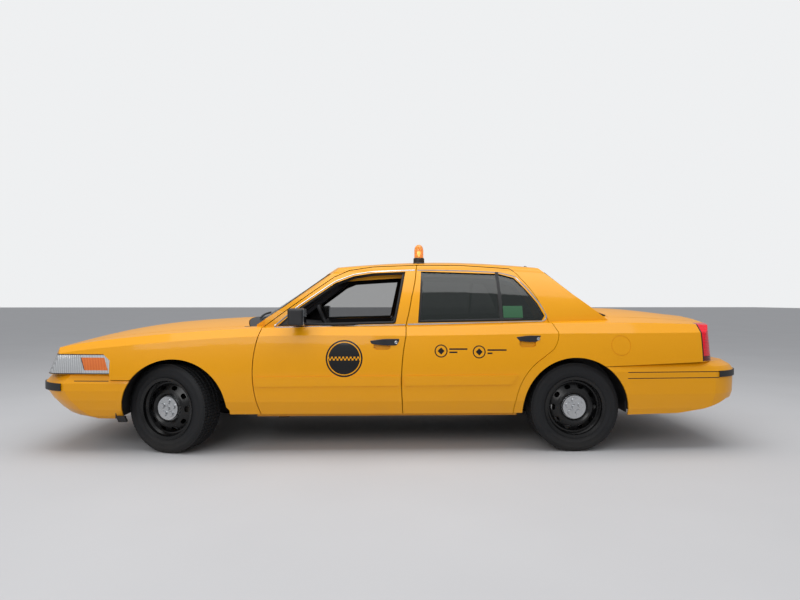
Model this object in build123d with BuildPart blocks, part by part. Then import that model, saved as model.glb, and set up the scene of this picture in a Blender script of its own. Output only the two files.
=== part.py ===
from build123d import *
import os
from math import cos, radians, sin, sqrt, tan

# A long-wheelbase four-door taxi sedan with a separate ladder frame.
# Frame: X along the car with the front towards -X, Y across with the driver's side at -Y,
# +Z up, origin on the ground at the middle of the car's length and width. Millimetres.

os.makedirs("parts", exist_ok=True)

# Chassis
FRONT_AXLE_X = -1682
WHEELBASE = 3060
REAR_AXLE_X = FRONT_AXLE_X + WHEELBASE
FRONT_TRACK = 1610
REAR_TRACK = 1666
KINGPIN_IN = 34             # kingpins inboard of the front wheels' centre planes
STEER_AT_REST = 19          # degrees, wheels turned to the car's right as it is parked

# Wheels and tyres
TYRE_R = 338
TYRE_WIDTH = 228
TREAD_WIDTH = 196
RIM_FLANGE_R = 233
VENT_COUNT = 10
VENT_CIRCLE_R = 160
VENT_LENGTH = 46
VENT_WIDTH = 30
HUB_CAP_R = 92
HUB_CAP_HEIGHT = 30
CAP_LOBES = 5
HUB_R = 62
BRAKE_DISC_R = 152
BRAKE_DISC_T = 26
BRAKE_DISC_Y = -16          # middle of the disc, from the wheel's centre plane
STUB_R = 24                 # stub axles, and the running fit of the hubs on them
STUB_FIT = 0.05

# Body shell
SHUT_GAP = 6                # gap round doors, hood and lid
BETWEEN_DOORS = 8           # gap between the front and the rear door
PANEL_T = 20                # fenders and quarter panels with their inner stiffening
HOOD_T = 26
ROOF_T = 30
DOOR_INNER_Y = 855          # inner face of the doors below the belt
PILLAR_OUTER_Y = 824        # outer face of sill and pillars, behind the doors
PILLAR_INNER_Y = 764
DOOR_FRAME_T = 45           # window frame of the doors
DOOR_FRAME_LEG = 16         # the same behind the windscreen, clear of the pillar as it opens
RAIL_T = 95                 # roof rail and pillars behind the door frames
GLASS_T = 5
GLASS_SET = 9               # glass lies this far under the outer skin
SEAL = 1                    # gap between a fixed glass and its opening
ARCH_FRONT = (-1660, 317, 400)   # centre x, centre z, radius of the wheel opening
ARCH_REAR = (1375, 317, 405)
HOUSE_GAP = 12              # wheelhouse outside the arch radius
HOUSE_T = 8
FRONT_HOUSE_Y = 482
REAR_HOUSE_Y = 700
DOOR_BOTTOM_Z = 300
ROOF_JOIN_Y = 548           # seam between roof panel and body side
DOOR_TOP_Y = 560            # the doors reach in this far over the roof rail
SAIL_T = 8                  # black sail in the window's front corner that carries the mirror

# Sections of the lower body, from nose to tail. Columns: x, then height and half width of the
# bottom edge, the lower crease, the widest line, the shoulder crease and the top edge, then the
# height of the crown on the centre line.
LOWER_STATIONS = [
    (-2720, 290, 850, 385, 890, 560, 905, 705, 885, 745, 845, 778),
    (-2300, 292, 895, 390, 925, 580, 940, 788, 912, 842, 850, 900),
    (-1700, 297, 930, 396, 965, 600, 978, 845, 945, 905, 888, 980),
    (-1061, 300, 940, 396, 975, 600, 988, 885, 955, 945, 905, 1014),
    (0, 300, 942, 396, 977, 600, 990, 890, 957, 955, 908, 1035),
    (950, 300, 942, 396, 977, 600, 990, 900, 957, 975, 905, 1050),
    (1600, 298, 938, 396, 972, 600, 986, 905, 950, 985, 890, 1084),
    (2200, 296, 920, 396, 952, 600, 968, 907, 930, 975, 862, 1062),
    (2620, 300, 885, 396, 915, 600, 930, 905, 890, 950, 822, 1020),
]

# Sections of the greenhouse. Columns: x, half width at the foot, half width and height at mid
# glass, half width and height at the roof rail, half width and height at the roof's edge, crown.
FOOT_Z = 880
ROOF_STATIONS = [
    (-1150, 830, 780, 1180, 560, 1330, 470, 1352, 1375),
    (-500, 888, 805, 1180, 622, 1375, 540, 1415, 1445),
    (250, 908, 822, 1180, 655, 1405, 565, 1452, 1491),
    (900, 895, 808, 1180, 640, 1395, 550, 1440, 1476),
    (1800, 800, 735, 1180, 560, 1330, 470, 1362, 1390),
]
RAIL_BULGE = 12             # roundness of the roof rail between the last two points

# Windscreen and rear window: x of the glass line on the centre line at SLOPE_Z, how far its
# sides sweep back at SWEEP_Y, and its angle above level.
SLOPE_Z = 1000
SWEEP_Y = 750
SCREEN_X, SCREEN_SWEEP, SCREEN_ANGLE = -1165, 150, 33.4
BACK_X, BACK_SWEEP, BACK_ANGLE = 1790, 110, 38

# Nose and tail faces, as seen in plan: x on the centre line, x at the corner and the corner's
# half width, x where the corner has turned into the side; then the lean of the face.
NOSE_PLAN = (-2716, -2672, 690, -2470)
NOSE_LEAN_Z, NOSE_LEAN = 611, 0.44
TAIL_PLAN = (2560, 2515, 740, 2330)
TAIL_LEAN_Z, TAIL_LEAN = 614, 0.10

# Half width of the body side at the doors, by height
SIDE_LINE = [
    (200, 930), (300, 942), (396, 977), (600, 990), (890, 957), (955, 908),
    (1180, 822), (1405, 655), (1452, 565), (1700, 100),
]
DRAW_Y = 1100               # plane outside the car on which door outlines are drawn
LEAN_FRONT = 0.38           # lean of the shut face behind the front door, x per y
LEAN_REAR = 0.50            # lean of the shut face behind the rear door


def half_width(z):
    """Half width of the door skin at height z."""
    for (z0, y0), (z1, y1) in zip(SIDE_LINE, SIDE_LINE[1:]):
        if z <= z1:
            return y0 + (y1 - y0) * (z - z0) / (z1 - z0)
    return SIDE_LINE[-1][1]


def cross_plane(x):
    """Plane across the car at x, with its own x along the car's Y and its own y up."""
    return Plane(origin=(x, 0, 0), x_dir=(0, 1, 0), z_dir=(1, 0, 0))


def side_plane(y):
    """Plane seen from the driver's side, at half width y."""
    return Plane.XZ.offset(y)


def other(point):
    """The same point of a cross section on the other side of the car."""
    return (-point[0], point[1])


def end_block(plan, lean_z, lean, inset):
    """Block that ends in the plan of the nose or the tail, leaning back as it rises."""
    sign = -1 if plan[0] < 0 else 1
    tip, corner_x, corner_y, side_x = plan
    rise = 700
    shift = -sign * (lean * rise + inset)
    side_y = 965 - inset
    knee = (corner_x - sign * 52 + shift, 0.62 * corner_y + 0.38 * side_y + 62)
    with BuildPart() as block:
        with BuildSketch(Plane.XY.offset(lean_z + rise)):
            with BuildLine():
                ThreePointArc((corner_x + shift, -corner_y), (tip + shift, 0), (corner_x + shift, corner_y))
                for flip in (1, -1):
                    ThreePointArc((corner_x + shift, flip * corner_y), (knee[0], flip * knee[1]),
                                  (side_x + shift, flip * side_y))
                    Polyline((side_x + shift, flip * side_y), (side_x - sign * 300, flip * 1200),
                             (-sign * 3200, flip * 1200))
                Line((-sign * 3200, 1200), (-sign * 3200, -1200))
            make_face()
        extrude(amount=1400, dir=(sign * lean, 0, -1))
    return block.part


def lower_body(inset):
    """Closed form of the body below the windows, its skin moved inwards by inset."""
    nose = end_block(NOSE_PLAN, NOSE_LEAN_Z, NOSE_LEAN, inset)
    tail = end_block(TAIL_PLAN, TAIL_LEAN_Z, TAIL_LEAN, inset)
    with BuildPart() as form:
        for x, zb, yb, zc, yc, zw, yw, zs, ys, ze, ye, zt in LOWER_STATIONS:
            foot = (yb - inset, zb + inset)
            crease = (yc - inset, zc + 0.2 * inset)
            widest = (yw - inset, zw)
            shoulder = (ys - inset, zs - 0.4 * inset)
            edge = (ye - 0.8 * inset, ze - inset)
            crown = (0, zt - inset)
            with BuildSketch(cross_plane(x)):
                with BuildLine():
                    Line(other(foot), foot)
                    Line(foot, crease)
                    ThreePointArc(crease, widest, shoulder)
                    Line(shoulder, edge)
                    ThreePointArc(edge, crown, other(edge))
                    Line(other(edge), other(shoulder))
                    ThreePointArc(other(shoulder), other(widest), other(crease))
                    Line(other(crease), other(foot))
                make_face()
        loft()
        add(nose, mode=Mode.INTERSECT)
        add(tail, mode=Mode.INTERSECT)
    return form.part


def glass_block(x, sweep, angle, sign, inset):
    """Block behind the curved, sloping surface of a windscreen or rear window."""
    drop = 300
    rise = 900
    x0 = x + sign * (inset / sin(radians(angle)) - drop / tan(radians(angle)))
    with BuildPart() as block:
        with BuildSketch(Plane.XY.offset(SLOPE_Z - drop)):
            with BuildLine():
                ThreePointArc((x0 + sign * sweep, -SWEEP_Y), (x0, 0), (x0 + sign * sweep, SWEEP_Y))
                Polyline((x0 + sign * sweep, SWEEP_Y), (x0 + sign * sweep, 1100),
                         (x0 + sign * 4400, 1100), (x0 + sign * 4400, -1100),
                         (x0 + sign * sweep, -1100), (x0 + sign * sweep, -SWEEP_Y))
            make_face()
        extrude(amount=rise / sin(radians(angle)),
                dir=(sign * cos(radians(angle)), 0, sin(radians(angle))))
    return block.part


def greenhouse(inset, screen_inset=None):
    """Closed form of roof and windows, its skin moved inwards by inset, and by screen_inset at
    the windscreen where that differs."""
    screen = glass_block(SCREEN_X, SCREEN_SWEEP, SCREEN_ANGLE, 1,
                         inset if screen_inset is None else screen_inset)
    back = glass_block(BACK_X, BACK_SWEEP, BACK_ANGLE, -1, inset)
    with BuildPart() as form:
        for x, yf, ym, zm, yr, zr, yc, zc, zt in ROOF_STATIONS:
            foot = (yf - inset, FOOT_Z)
            mid = (ym - inset, zm)
            rail = (yr - inset, zr - 0.35 * inset)
            edge = (yc - 0.7 * inset, zc - inset)
            crown = (0, zt - inset)
            bulge = ((rail[0] + edge[0]) / 2 + RAIL_BULGE, (rail[1] + edge[1]) / 2 + RAIL_BULGE)
            with BuildSketch(cross_plane(x)):
                with BuildLine():
                    Line(other(foot), foot)
                    ThreePointArc(foot, mid, rail)
                    ThreePointArc(rail, bulge, edge)
                    ThreePointArc(edge, crown, other(edge))
                    ThreePointArc(other(edge), other(bulge), other(rail))
                    ThreePointArc(other(rail), other(mid), other(foot))
                make_face()
        loft()
        add(screen, mode=Mode.INTERSECT)
        add(back, mode=Mode.INTERSECT)
    return form.part


def leaned(x, z, lean):
    """Place on the drawing plane of the point that meets the skin at x, z, for a shut face
    that moves forwards by lean for each millimetre it goes in."""
    return (x + lean * (DRAW_Y - half_width(z)), z)


def block(x, y, z, mode=Mode.ADD):
    """Box between two places along each axis."""
    with Locations(((x[0] + x[1]) / 2, (y[0] + y[1]) / 2, (z[0] + z[1]) / 2)):
        Box(x[1] - x[0], y[1] - y[0], z[1] - z[0], mode=mode)


def other_side(part):
    """The same piece on the other side of the car."""
    with BuildPart() as copy:
        mirror(part, about=Plane.XZ)
    return copy.part


def side_prism(corners, grow=0, inner_y=380, arcs=()):
    """Straight prism across one side of the car over an outline in x, z. The corners with
    their numbers in arcs are middles of arcs."""
    with BuildPart() as prism:
        with BuildSketch(side_plane(DRAW_Y)):
            with BuildLine():
                outline(corners, arcs)
            make_face()
            if grow:
                offset(amount=grow, kind=Kind.INTERSECTION)
        extrude(amount=inner_y - DRAW_Y)
    return prism.part


def outline(corners, arcs=()):
    """Closed run of lines, with arcs through the corners that are numbered in arcs."""
    count = len(corners)
    step = 0
    while step < count:
        if (step + 1) % count in arcs:
            ThreePointArc(corners[step], corners[(step + 1) % count], corners[(step + 2) % count])
            step += 2
        else:
            Line(corners[step], corners[(step + 1) % count])
            step += 1


def leaned_prism(corners, lean, grow=0, arcs=()):
    """Prism like side_prism, over an outline on the drawing plane, leaning forwards by lean."""
    with BuildPart() as prism:
        with BuildSketch(side_plane(DRAW_Y)):
            with BuildLine():
                outline(corners, arcs)
            make_face()
            if grow:
                offset(amount=grow, kind=Kind.INTERSECTION)
        depth = DRAW_Y - 380
        extrude(amount=depth * sqrt(1 + lean * lean), dir=(-lean, 1, 0))
    return prism.part


# Shut lines as the side view shows them: x, z where the gap meets the skin
SHUT_A = [(-1003, DOOR_BOTTOM_Z), (-1061, 600), (-1003, 950)]
A_PILLAR_LINE = [(-476, 1341), (-361, 1395), (-162, 1424)]
ROOF_LINE_Z = 1437
SHUT_B = [(66, 250), (46, 600), (83, 955), (129, 1180), (174, 1405)]
SHUT_B_TOP_X = 533          # where the line leaves the top of the drawing plane
SHUT_C = [(900, 280), (935, 492), (1106, 715), (1194, 782), (1232, 845), (1238, 918),
          (1140, 1150), (1012, 1343), (985, 1385), (940, 1412)]


def front_door_zone(grow):
    """Everything inside the shut lines of the front door, grown by grow."""
    ahead = side_prism(SHUT_A + A_PILLAR_LINE + [(176, ROOF_LINE_Z), (700, ROOF_LINE_Z),
                                                 (700, DOOR_BOTTOM_Z)], grow, DOOR_TOP_Y - grow,
                       arcs=(1,))
    behind = leaned_prism([leaned(*p, LEAN_FRONT) for p in SHUT_B]
                          + [(SHUT_B_TOP_X, 1800), (-1700, 1800), (-1700, 100)], LEAN_FRONT, grow,
                          arcs=(1,))
    with BuildPart() as zone:
        add(ahead)
        add(behind, mode=Mode.INTERSECT)
    return zone.part


def rear_door_zone(grow):
    """Everything inside the shut lines of the rear door, grown by grow."""
    between = side_prism([(-500, DOOR_BOTTOM_Z), (-500, ROOF_LINE_Z), (176, ROOF_LINE_Z),
                          (523, ROOF_LINE_Z), (966, 1409), (1700, 1409),
                          (1700, DOOR_BOTTOM_Z)], grow, DOOR_TOP_Y - grow)
    front_edge = [(x + BETWEEN_DOORS, z) for x, z in SHUT_B]
    ahead = leaned_prism([leaned(*p, LEAN_FRONT) for p in front_edge]
                         + [(SHUT_B_TOP_X + BETWEEN_DOORS, 1800), (2400, 1800), (2400, 100)],
                         LEAN_FRONT, grow, arcs=(1,))
    behind = leaned_prism([leaned(*p, LEAN_REAR) for p in SHUT_C]
                          + [(900, 1800), (-1700, 1800), (-1700, 100)], LEAN_REAR, grow,
                          arcs=(1, 4, 6, 8))
    with BuildPart() as zone:
        add(between)
        add(ahead, mode=Mode.INTERSECT)
        add(behind, mode=Mode.INTERSECT)
    return zone.part


# Window openings in the side view, x and z
FRONT_WINDOW = [(-900, 958), (-742, 1096), (-466, 1293), (-321, 1350), (-171, 1374), (90, 1386),
                (6, 976)]
REAR_WINDOW = [(178, 984), (215, 1388), (842, 1369), (958, 1336), (1034, 1246), (1118, 1131),
               (1166, 1035), (1142, 1000)]
SAIL = [(-930, 930), (-930, 1200), (-735, 1200), (-662, 930)]    # behind the mirror
DIVISION_BAR = [(812, 980), (836, 980), (838, 1385), (814, 1385)]


def shell(outer, inner):
    """What lies between two closed forms."""
    with BuildPart() as skin:
        add(outer)
        add(inner, mode=Mode.SUBTRACT)
    return skin.part


low = lower_body(0)
low_panel = lower_body(PANEL_T)
high = greenhouse(0)
high_seat = greenhouse(GLASS_SET)
high_glass = greenhouse(GLASS_SET + GLASS_T)
high_frame = greenhouse(DOOR_FRAME_T, DOOR_FRAME_LEG)
high_stop = greenhouse(DOOR_FRAME_T + SHUT_GAP)
high_rail = greenhouse(RAIL_T)
with BuildPart() as envelope:
    add(low)
    add(high)
low_shell = shell(low, low_panel)
hood_shell = shell(low, lower_body(HOOD_T))

# Zones cut out for the doors: the door itself, its gap, and the way in behind its flange
front_door = front_door_zone(0)
front_gap = front_door_zone(SHUT_GAP)
rear_door = rear_door_zone(0)
rear_gap = rear_door_zone(SHUT_GAP)
DOOR_FLANGE = 36
front_way = front_door_zone(-DOOR_FLANGE)
rear_way = rear_door_zone(-DOOR_FLANGE)

# Doors: one hollow-sided pressing each, inner face flat below the belt, frame round the glass
FRAME_FOOT_Z = 990
front_window = side_prism(FRONT_WINDOW)
rear_window_zone = side_prism(REAR_WINDOW)
division_bar = side_prism(DIVISION_BAR)
with BuildPart() as cabin_side:
    block((-1700, 2400), (-DOOR_INNER_Y, 0), (0, FRAME_FOOT_Z))
    add(high_frame)
with BuildPart() as glass_skin:
    add(high_seat)
    add(high_glass, mode=Mode.SUBTRACT)
    block((-1200, 1800), (-1000, -380), (900, 1500), mode=Mode.INTERSECT)

def save(part, name):
    """Label a finished piece and write its file."""
    part.label = name
    export_step(part, f"parts/{name}.step")


with BuildPart() as door_front_left:
    add(envelope.part)
    add(front_door, mode=Mode.INTERSECT)
    add(cabin_side.part, mode=Mode.SUBTRACT)
    add(front_window, mode=Mode.SUBTRACT)
with BuildPart() as glass_front:
    add(glass_skin.part)
    add(front_window, mode=Mode.INTERSECT)
    add(side_prism(SAIL, SEAL), mode=Mode.SUBTRACT)
with BuildPart() as rear_bar:
    add(division_bar)
    add(high_seat, mode=Mode.INTERSECT)
    add(high_frame, mode=Mode.SUBTRACT)
with BuildPart() as door_rear_left:
    add(envelope.part)
    add(rear_door, mode=Mode.INTERSECT)
    add(cabin_side.part, mode=Mode.SUBTRACT)
    add(rear_window_zone, mode=Mode.SUBTRACT)
    add(rear_bar.part)
with BuildPart() as glass_rear:
    add(glass_skin.part)
    add(rear_window_zone, mode=Mode.INTERSECT)
    add(division_bar, mode=Mode.SUBTRACT)

# Mouldings along the doors and finger cups behind the handles
MOULDING_T = 8
FRONT_MOULDING = [(-1046, 512), (-1046, 584), (40, 590), (40, 516)]
REAR_MOULDING = [(70, 516), (70, 590), (928, 594), (900, 552), (880, 522)]
CUP_DEPTH = 20
FRONT_CUP = [(-160, 800), (-142, 786), (-52, 786), (-34, 800), (-34, 840), (-160, 840)]
REAR_CUP = [(944, 816), (962, 802), (1052, 802), (1070, 816), (1070, 856), (944, 856)]
moulding_skin = shell(lower_body(-MOULDING_T), low_panel)
cup_skin = shell(lower_body(-1), lower_body(CUP_DEPTH))
with BuildPart() as front_door_whole:
    add(moulding_skin)
    add(side_prism(FRONT_MOULDING), mode=Mode.INTERSECT)
    add(front_door, mode=Mode.INTERSECT)
    add(door_front_left.part)
    with BuildPart(mode=Mode.PRIVATE) as front_cup:
        add(cup_skin)
        add(side_prism(FRONT_CUP), mode=Mode.INTERSECT)
    add(front_cup.part, mode=Mode.SUBTRACT)
with BuildPart() as rear_door_whole:
    add(moulding_skin)
    add(side_prism(REAR_MOULDING), mode=Mode.INTERSECT)
    add(rear_door, mode=Mode.INTERSECT)
    add(door_rear_left.part)
    with BuildPart(mode=Mode.PRIVATE) as rear_cup:
        add(cup_skin)
        add(side_prism(REAR_CUP), mode=Mode.INTERSECT)
    add(rear_cup.part, mode=Mode.SUBTRACT)

save(front_door_whole.part, "door_front_left")
save(other_side(front_door_whole.part), "door_front_right")
save(rear_door_whole.part, "door_rear_left")
save(other_side(rear_door_whole.part), "door_rear_right")
save(other_side(glass_front.part), "glass_front_right")
save(glass_rear.part, "glass_rear_left")
save(other_side(glass_rear.part), "glass_rear_right")

# Body side: quarter panel, roof rail, pillars and sill behind the doors, all welded together
LID_HALF = 700              # half width of the trunk lid
LAMP_INNER_Y = 592          # inner end of the tail lamps
TAIL_LAMP_X = 2362
TAIL_LAMP_Z = (690, 978)
QUARTER_X = 860
BACK_X_END = 1716           # rear window base, front edge of the trunk lid
FENDER_REAR_X = -1000
FENDER_INNER_Y = 828        # inner edge of the fender's top strip beside the cowl
REAR_SPLIT = [(1500, 650), (2500, 690), (2900, 690), (2900, 0), (1500, 0)]
rear_split = side_prism(REAR_SPLIT, inner_y=0)

arch_x, arch_z, arch_r = ARCH_REAR
with BuildPart() as rear_arch:
    with BuildSketch(side_plane(640)):
        with Locations((arch_x, arch_z)):
            Circle(arch_r)
    extrude(amount=500)
arch_x, arch_z, arch_r = ARCH_FRONT
with BuildPart() as front_arch:
    with BuildSketch(side_plane(640)):
        with Locations((arch_x, arch_z)):
            Circle(arch_r)
        with BuildLine():
            Polyline((arch_x, arch_z + 40), (arch_x + arch_r - 3, arch_z + 40), (-1240, 330),
                     (-1240, 200), (arch_x, 200), (arch_x, arch_z + 40))
        make_face()
    extrude(amount=500)

with BuildPart() as screen_zone:
    with BuildSketch(Plane(origin=(SCREEN_X, 0, SLOPE_Z), x_dir=(0, -1, 0),
                           z_dir=(-sin(radians(SCREEN_ANGLE)), 0, cos(radians(SCREEN_ANGLE))))):
        with BuildLine():
            Polyline((-780, -400), (-780, 60), (-545, 700), (545, 700), (780, 60), (780, -400),
                     (-780, -400))
        make_face()
    extrude(amount=300, both=True)
    add(low, mode=Mode.SUBTRACT)
with BuildPart() as back_zone:
    with BuildSketch(Plane(origin=(BACK_X, 0, SLOPE_Z), x_dir=(0, 1, 0),
                           z_dir=(sin(radians(BACK_ANGLE)), 0, cos(radians(BACK_ANGLE))))):
        with BuildLine():
            Polyline((-700, -300), (-700, 40), (-545, 620), (545, 620), (700, 40), (700, -300),
                     (-700, -300))
        make_face()
    extrude(amount=300, both=True)
    add(low, mode=Mode.SUBTRACT)
with BuildPart() as side_bounds:
    block((QUARTER_X, 2700), (-1100, -ROOF_JOIN_Y), (250, 1500))
    block((-1062, QUARTER_X), (-1100, -ROOF_JOIN_Y), (FOOT_Z, 1500))
    block((QUARTER_X, 2700), (-860, 0), (0, 640), mode=Mode.SUBTRACT)
    block((BACK_X_END, 2700), (-LID_HALF - SHUT_GAP, 0), (TAIL_LAMP_Z[1], 1500), mode=Mode.SUBTRACT)
    block((2200, 2700), (-LID_HALF, 0), (0, 1500), mode=Mode.SUBTRACT)
    block((TAIL_LAMP_X, 2700), (-1100, 0), TAIL_LAMP_Z, mode=Mode.SUBTRACT)
    block((-1062, FENDER_REAR_X + 2), (-1100, -FENDER_INNER_Y), (0, 1100), mode=Mode.SUBTRACT)
    add(rear_split, mode=Mode.SUBTRACT)
with BuildPart() as under_cowl:
    block((-1070, -890), (-FENDER_INNER_Y - 2, 0), (850, 1100))
    add(low, mode=Mode.INTERSECT)
with BuildPart() as side_skin:
    add(envelope.part)
    add(low_panel, mode=Mode.SUBTRACT)
    add(high_rail, mode=Mode.SUBTRACT)
    add(under_cowl.part, mode=Mode.SUBTRACT)
    add(side_bounds.part, mode=Mode.INTERSECT)
with BuildPart() as front_rebate:
    add(front_gap)
    add(high_stop, mode=Mode.SUBTRACT)
with BuildPart() as rear_rebate:
    add(rear_gap)
    add(high_stop, mode=Mode.SUBTRACT)
SILL_Z = (262, 402)
with BuildPart() as rear_house_hole:
    with BuildSketch(side_plane(640)):
        with Locations(ARCH_REAR[:2]):
            Circle(ARCH_REAR[2] + HOUSE_GAP + HOUSE_T + 1)
    extrude(amount=500)
with BuildPart() as side_frame:
    block((-1036, 1010), (-PILLAR_OUTER_Y, -PILLAR_INNER_Y), (SILL_Z[0], FRAME_FOOT_Z - SHUT_GAP))
    add(front_way, mode=Mode.SUBTRACT)
    add(rear_way, mode=Mode.SUBTRACT)
    block((-1058, 930), (-PILLAR_OUTER_Y, -690), SILL_Z)
    add(rear_house_hole.part, mode=Mode.SUBTRACT)
    add(screen_zone.part, mode=Mode.SUBTRACT)
with BuildPart() as rear_jamb:
    add(rear_door_zone(SHUT_GAP + 14))
    add(lower_body(1), mode=Mode.INTERSECT)
    block((870, 1400), (-1100, -PILLAR_INNER_Y), (SILL_Z[0], 1100), mode=Mode.INTERSECT)
    add(rear_gap, mode=Mode.SUBTRACT)
    add(rear_house_hole.part, mode=Mode.SUBTRACT)
FUEL_DOOR = (1723, 812, 76)     # x, z and radius; the flap is marked by its groove
FUEL_GROOVE = (4, 3)            # width and depth
fuel_x, fuel_z, fuel_r = FUEL_DOOR
with BuildPart() as fuel_groove:
    with BuildSketch(side_plane(700)):
        with Locations((fuel_x, fuel_z)):
            Circle(fuel_r)
            Circle(fuel_r - FUEL_GROOVE[0], mode=Mode.SUBTRACT)
    extrude(amount=400)
    add(shell(lower_body(-1), lower_body(FUEL_GROOVE[1])), mode=Mode.INTERSECT)
with BuildPart() as body_side_left:
    add(side_skin.part)
    add(front_rebate.part, mode=Mode.SUBTRACT)
    add(rear_rebate.part, mode=Mode.SUBTRACT)
    add(front_way, mode=Mode.SUBTRACT)
    add(rear_way, mode=Mode.SUBTRACT)
    add(screen_zone.part, mode=Mode.SUBTRACT)
    add(back_zone.part, mode=Mode.SUBTRACT)
    add(rear_arch.part, mode=Mode.SUBTRACT)
    add(fuel_groove.part, mode=Mode.SUBTRACT)
    add(side_frame.part)
    add(rear_jamb.part)
save(body_side_left.part, "body_side_left")
save(other_side(body_side_left.part), "body_side_right")

# Roof panel between the two body sides
with BuildPart() as roof_panel:
    add(high)
    add(greenhouse(ROOF_T), mode=Mode.SUBTRACT)
    block((-1200, 1800), (-ROOF_JOIN_Y, ROOF_JOIN_Y), (1300, 1600), mode=Mode.INTERSECT)
    add(screen_zone.part, mode=Mode.SUBTRACT)
    add(back_zone.part, mode=Mode.SUBTRACT)
save(roof_panel.part, "roof_panel")

# Fixed glass: windscreen and rear window
with BuildPart() as glass_fixed:
    add(high_seat)
    add(high_glass, mode=Mode.SUBTRACT)
    block((-1240, 1900), (-830, 830), (FOOT_Z, 1500), mode=Mode.INTERSECT)
with BuildPart() as screen_edge:
    add(screen_zone.part)
    add(back_zone.part)
with BuildPart() as windows_fixed:
    add(glass_fixed.part)
    add(screen_edge.part, mode=Mode.INTERSECT)
    block((-400, 1150), (-1000, 1000), (800, 1600), mode=Mode.SUBTRACT)
save(windows_fixed.part, "glass_fixed")

# Hood, trunk lid, cowl and rear deck, cut from the same skin by their plan outlines
HOOD_REAR = [(-1122, 800), (-1236, 0)]      # corner and middle of the rear edge, x and y
HOOD_FRONT = (-2560, 724)
HOOD_LIP_Z = 756


def hood_zone(grow):
    """Plan outline of the hood, grown by grow."""
    (rear_x, rear_y), (mid_x, mid_y) = HOOD_REAR
    front_x, front_y = HOOD_FRONT
    with BuildPart() as zone:
        with BuildSketch(Plane.XY.offset(HOOD_LIP_Z - grow)):
            with BuildLine():
                ThreePointArc((rear_x, -rear_y), (mid_x, mid_y), (rear_x, rear_y))
                Polyline((rear_x, rear_y), (front_x, front_y), (-2900, front_y - 8),
                         (-2900, 8 - front_y), (front_x, -front_y), (rear_x, -rear_y))
            make_face()
            if grow:
                offset(amount=grow, kind=Kind.INTERSECTION)
        extrude(amount=500)
    return zone.part


hood_plan = hood_zone(0)
hood_gap = hood_zone(SHUT_GAP)
with BuildPart() as hood:
    add(hood_shell)
    add(hood_plan, mode=Mode.INTERSECT)
save(hood.part, "hood")

LID_EDGE_X = BACK_X_END + SHUT_GAP
LID_FOOT_Z = 694
with BuildPart() as lid_zone:
    block((LID_EDGE_X, 2800), (-LID_HALF, LID_HALF), (TAIL_LAMP_Z[1] + SHUT_GAP, 1400))
    block((2300, 2800), (-LAMP_INNER_Y + SHUT_GAP, LAMP_INNER_Y - SHUT_GAP), (LID_FOOT_Z, 1100))
with BuildPart() as trunk_lid:
    add(hood_shell)
    add(lid_zone.part, mode=Mode.INTERSECT)
save(trunk_lid.part, "trunk_lid")

with BuildPart() as cowl_bounds:
    block((-1158, -990), (2 - FENDER_INNER_Y, FENDER_INNER_Y - 2), (900, 1100))
    block((-1240, -1158), (-799, 799), (900, 1100))
with BuildPart() as cowl_panel:
    add(low_shell)
    add(cowl_bounds.part, mode=Mode.INTERSECT)
    add(hood_gap, mode=Mode.SUBTRACT)
    add(greenhouse(GLASS_SET - 1), mode=Mode.SUBTRACT)
save(cowl_panel.part, "cowl_panel")

with BuildPart() as rear_deck:
    add(low_shell)
    block((1500, BACK_X_END), (-ROOF_JOIN_Y, ROOF_JOIN_Y), (950, 1200), mode=Mode.INTERSECT)
    add(greenhouse(GLASS_SET - 1), mode=Mode.SUBTRACT)
save(rear_deck.part, "rear_deck")

# Lamps and fenders
HEADLAMP_SIDE = [(-2900, 606), (-2131, 606), (-2131, 706), (-2183, 752), (-2900, 752)]
HEADLAMP_INNER_Y = 452
LAMP_DEPTH = 70
FENDER_FOOT = [(-2900, 604), (-2130, 604), (-2124, 562), (-1700, 562), (-1700, 0), (-2900, 0)]
lamp_form = shell(low, lower_body(LAMP_DEPTH))
with BuildPart() as headlamp_left:
    add(lamp_form)
    add(side_prism(HEADLAMP_SIDE, inner_y=HEADLAMP_INNER_Y), mode=Mode.INTERSECT)
with BuildPart() as headlamps:
    add(headlamp_left.part)
    mirror(about=Plane.XZ)
save(headlamps.part, "headlamps")
with BuildPart() as tail_lamp_left:
    add(lamp_form)
    block((TAIL_LAMP_X, 2800), (-1100, -LAMP_INNER_Y), TAIL_LAMP_Z, mode=Mode.INTERSECT)
with BuildPart() as tail_lamps:
    add(tail_lamp_left.part)
    mirror(about=Plane.XZ)
save(tail_lamps.part, "tail_lamps")

with BuildPart() as fender_left:
    add(low_shell)
    block((-2800, FENDER_REAR_X), (-1100, -640), (DOOR_BOTTOM_Z - 2, 1100), mode=Mode.INTERSECT)
    block((-2800, FENDER_REAR_X), (-840, 0), (0, 640), mode=Mode.SUBTRACT)
    block((-1160, FENDER_REAR_X), (-FENDER_INNER_Y, 0), (0, 1100), mode=Mode.SUBTRACT)
    add(hood_gap, mode=Mode.SUBTRACT)
    add(front_gap, mode=Mode.SUBTRACT)
    add(front_arch.part, mode=Mode.SUBTRACT)
    add(side_prism(HEADLAMP_SIDE, SEAL, inner_y=400), mode=Mode.SUBTRACT)
    add(side_prism(FENDER_FOOT, inner_y=400), mode=Mode.SUBTRACT)
with BuildPart() as fenders:
    add(fender_left.part)
    mirror(about=Plane.XZ)
save(fenders.part, "fenders")

# Bumpers: moulded covers lofted through plan sections. Columns: height, inset
BUMPER_T = 14
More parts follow.
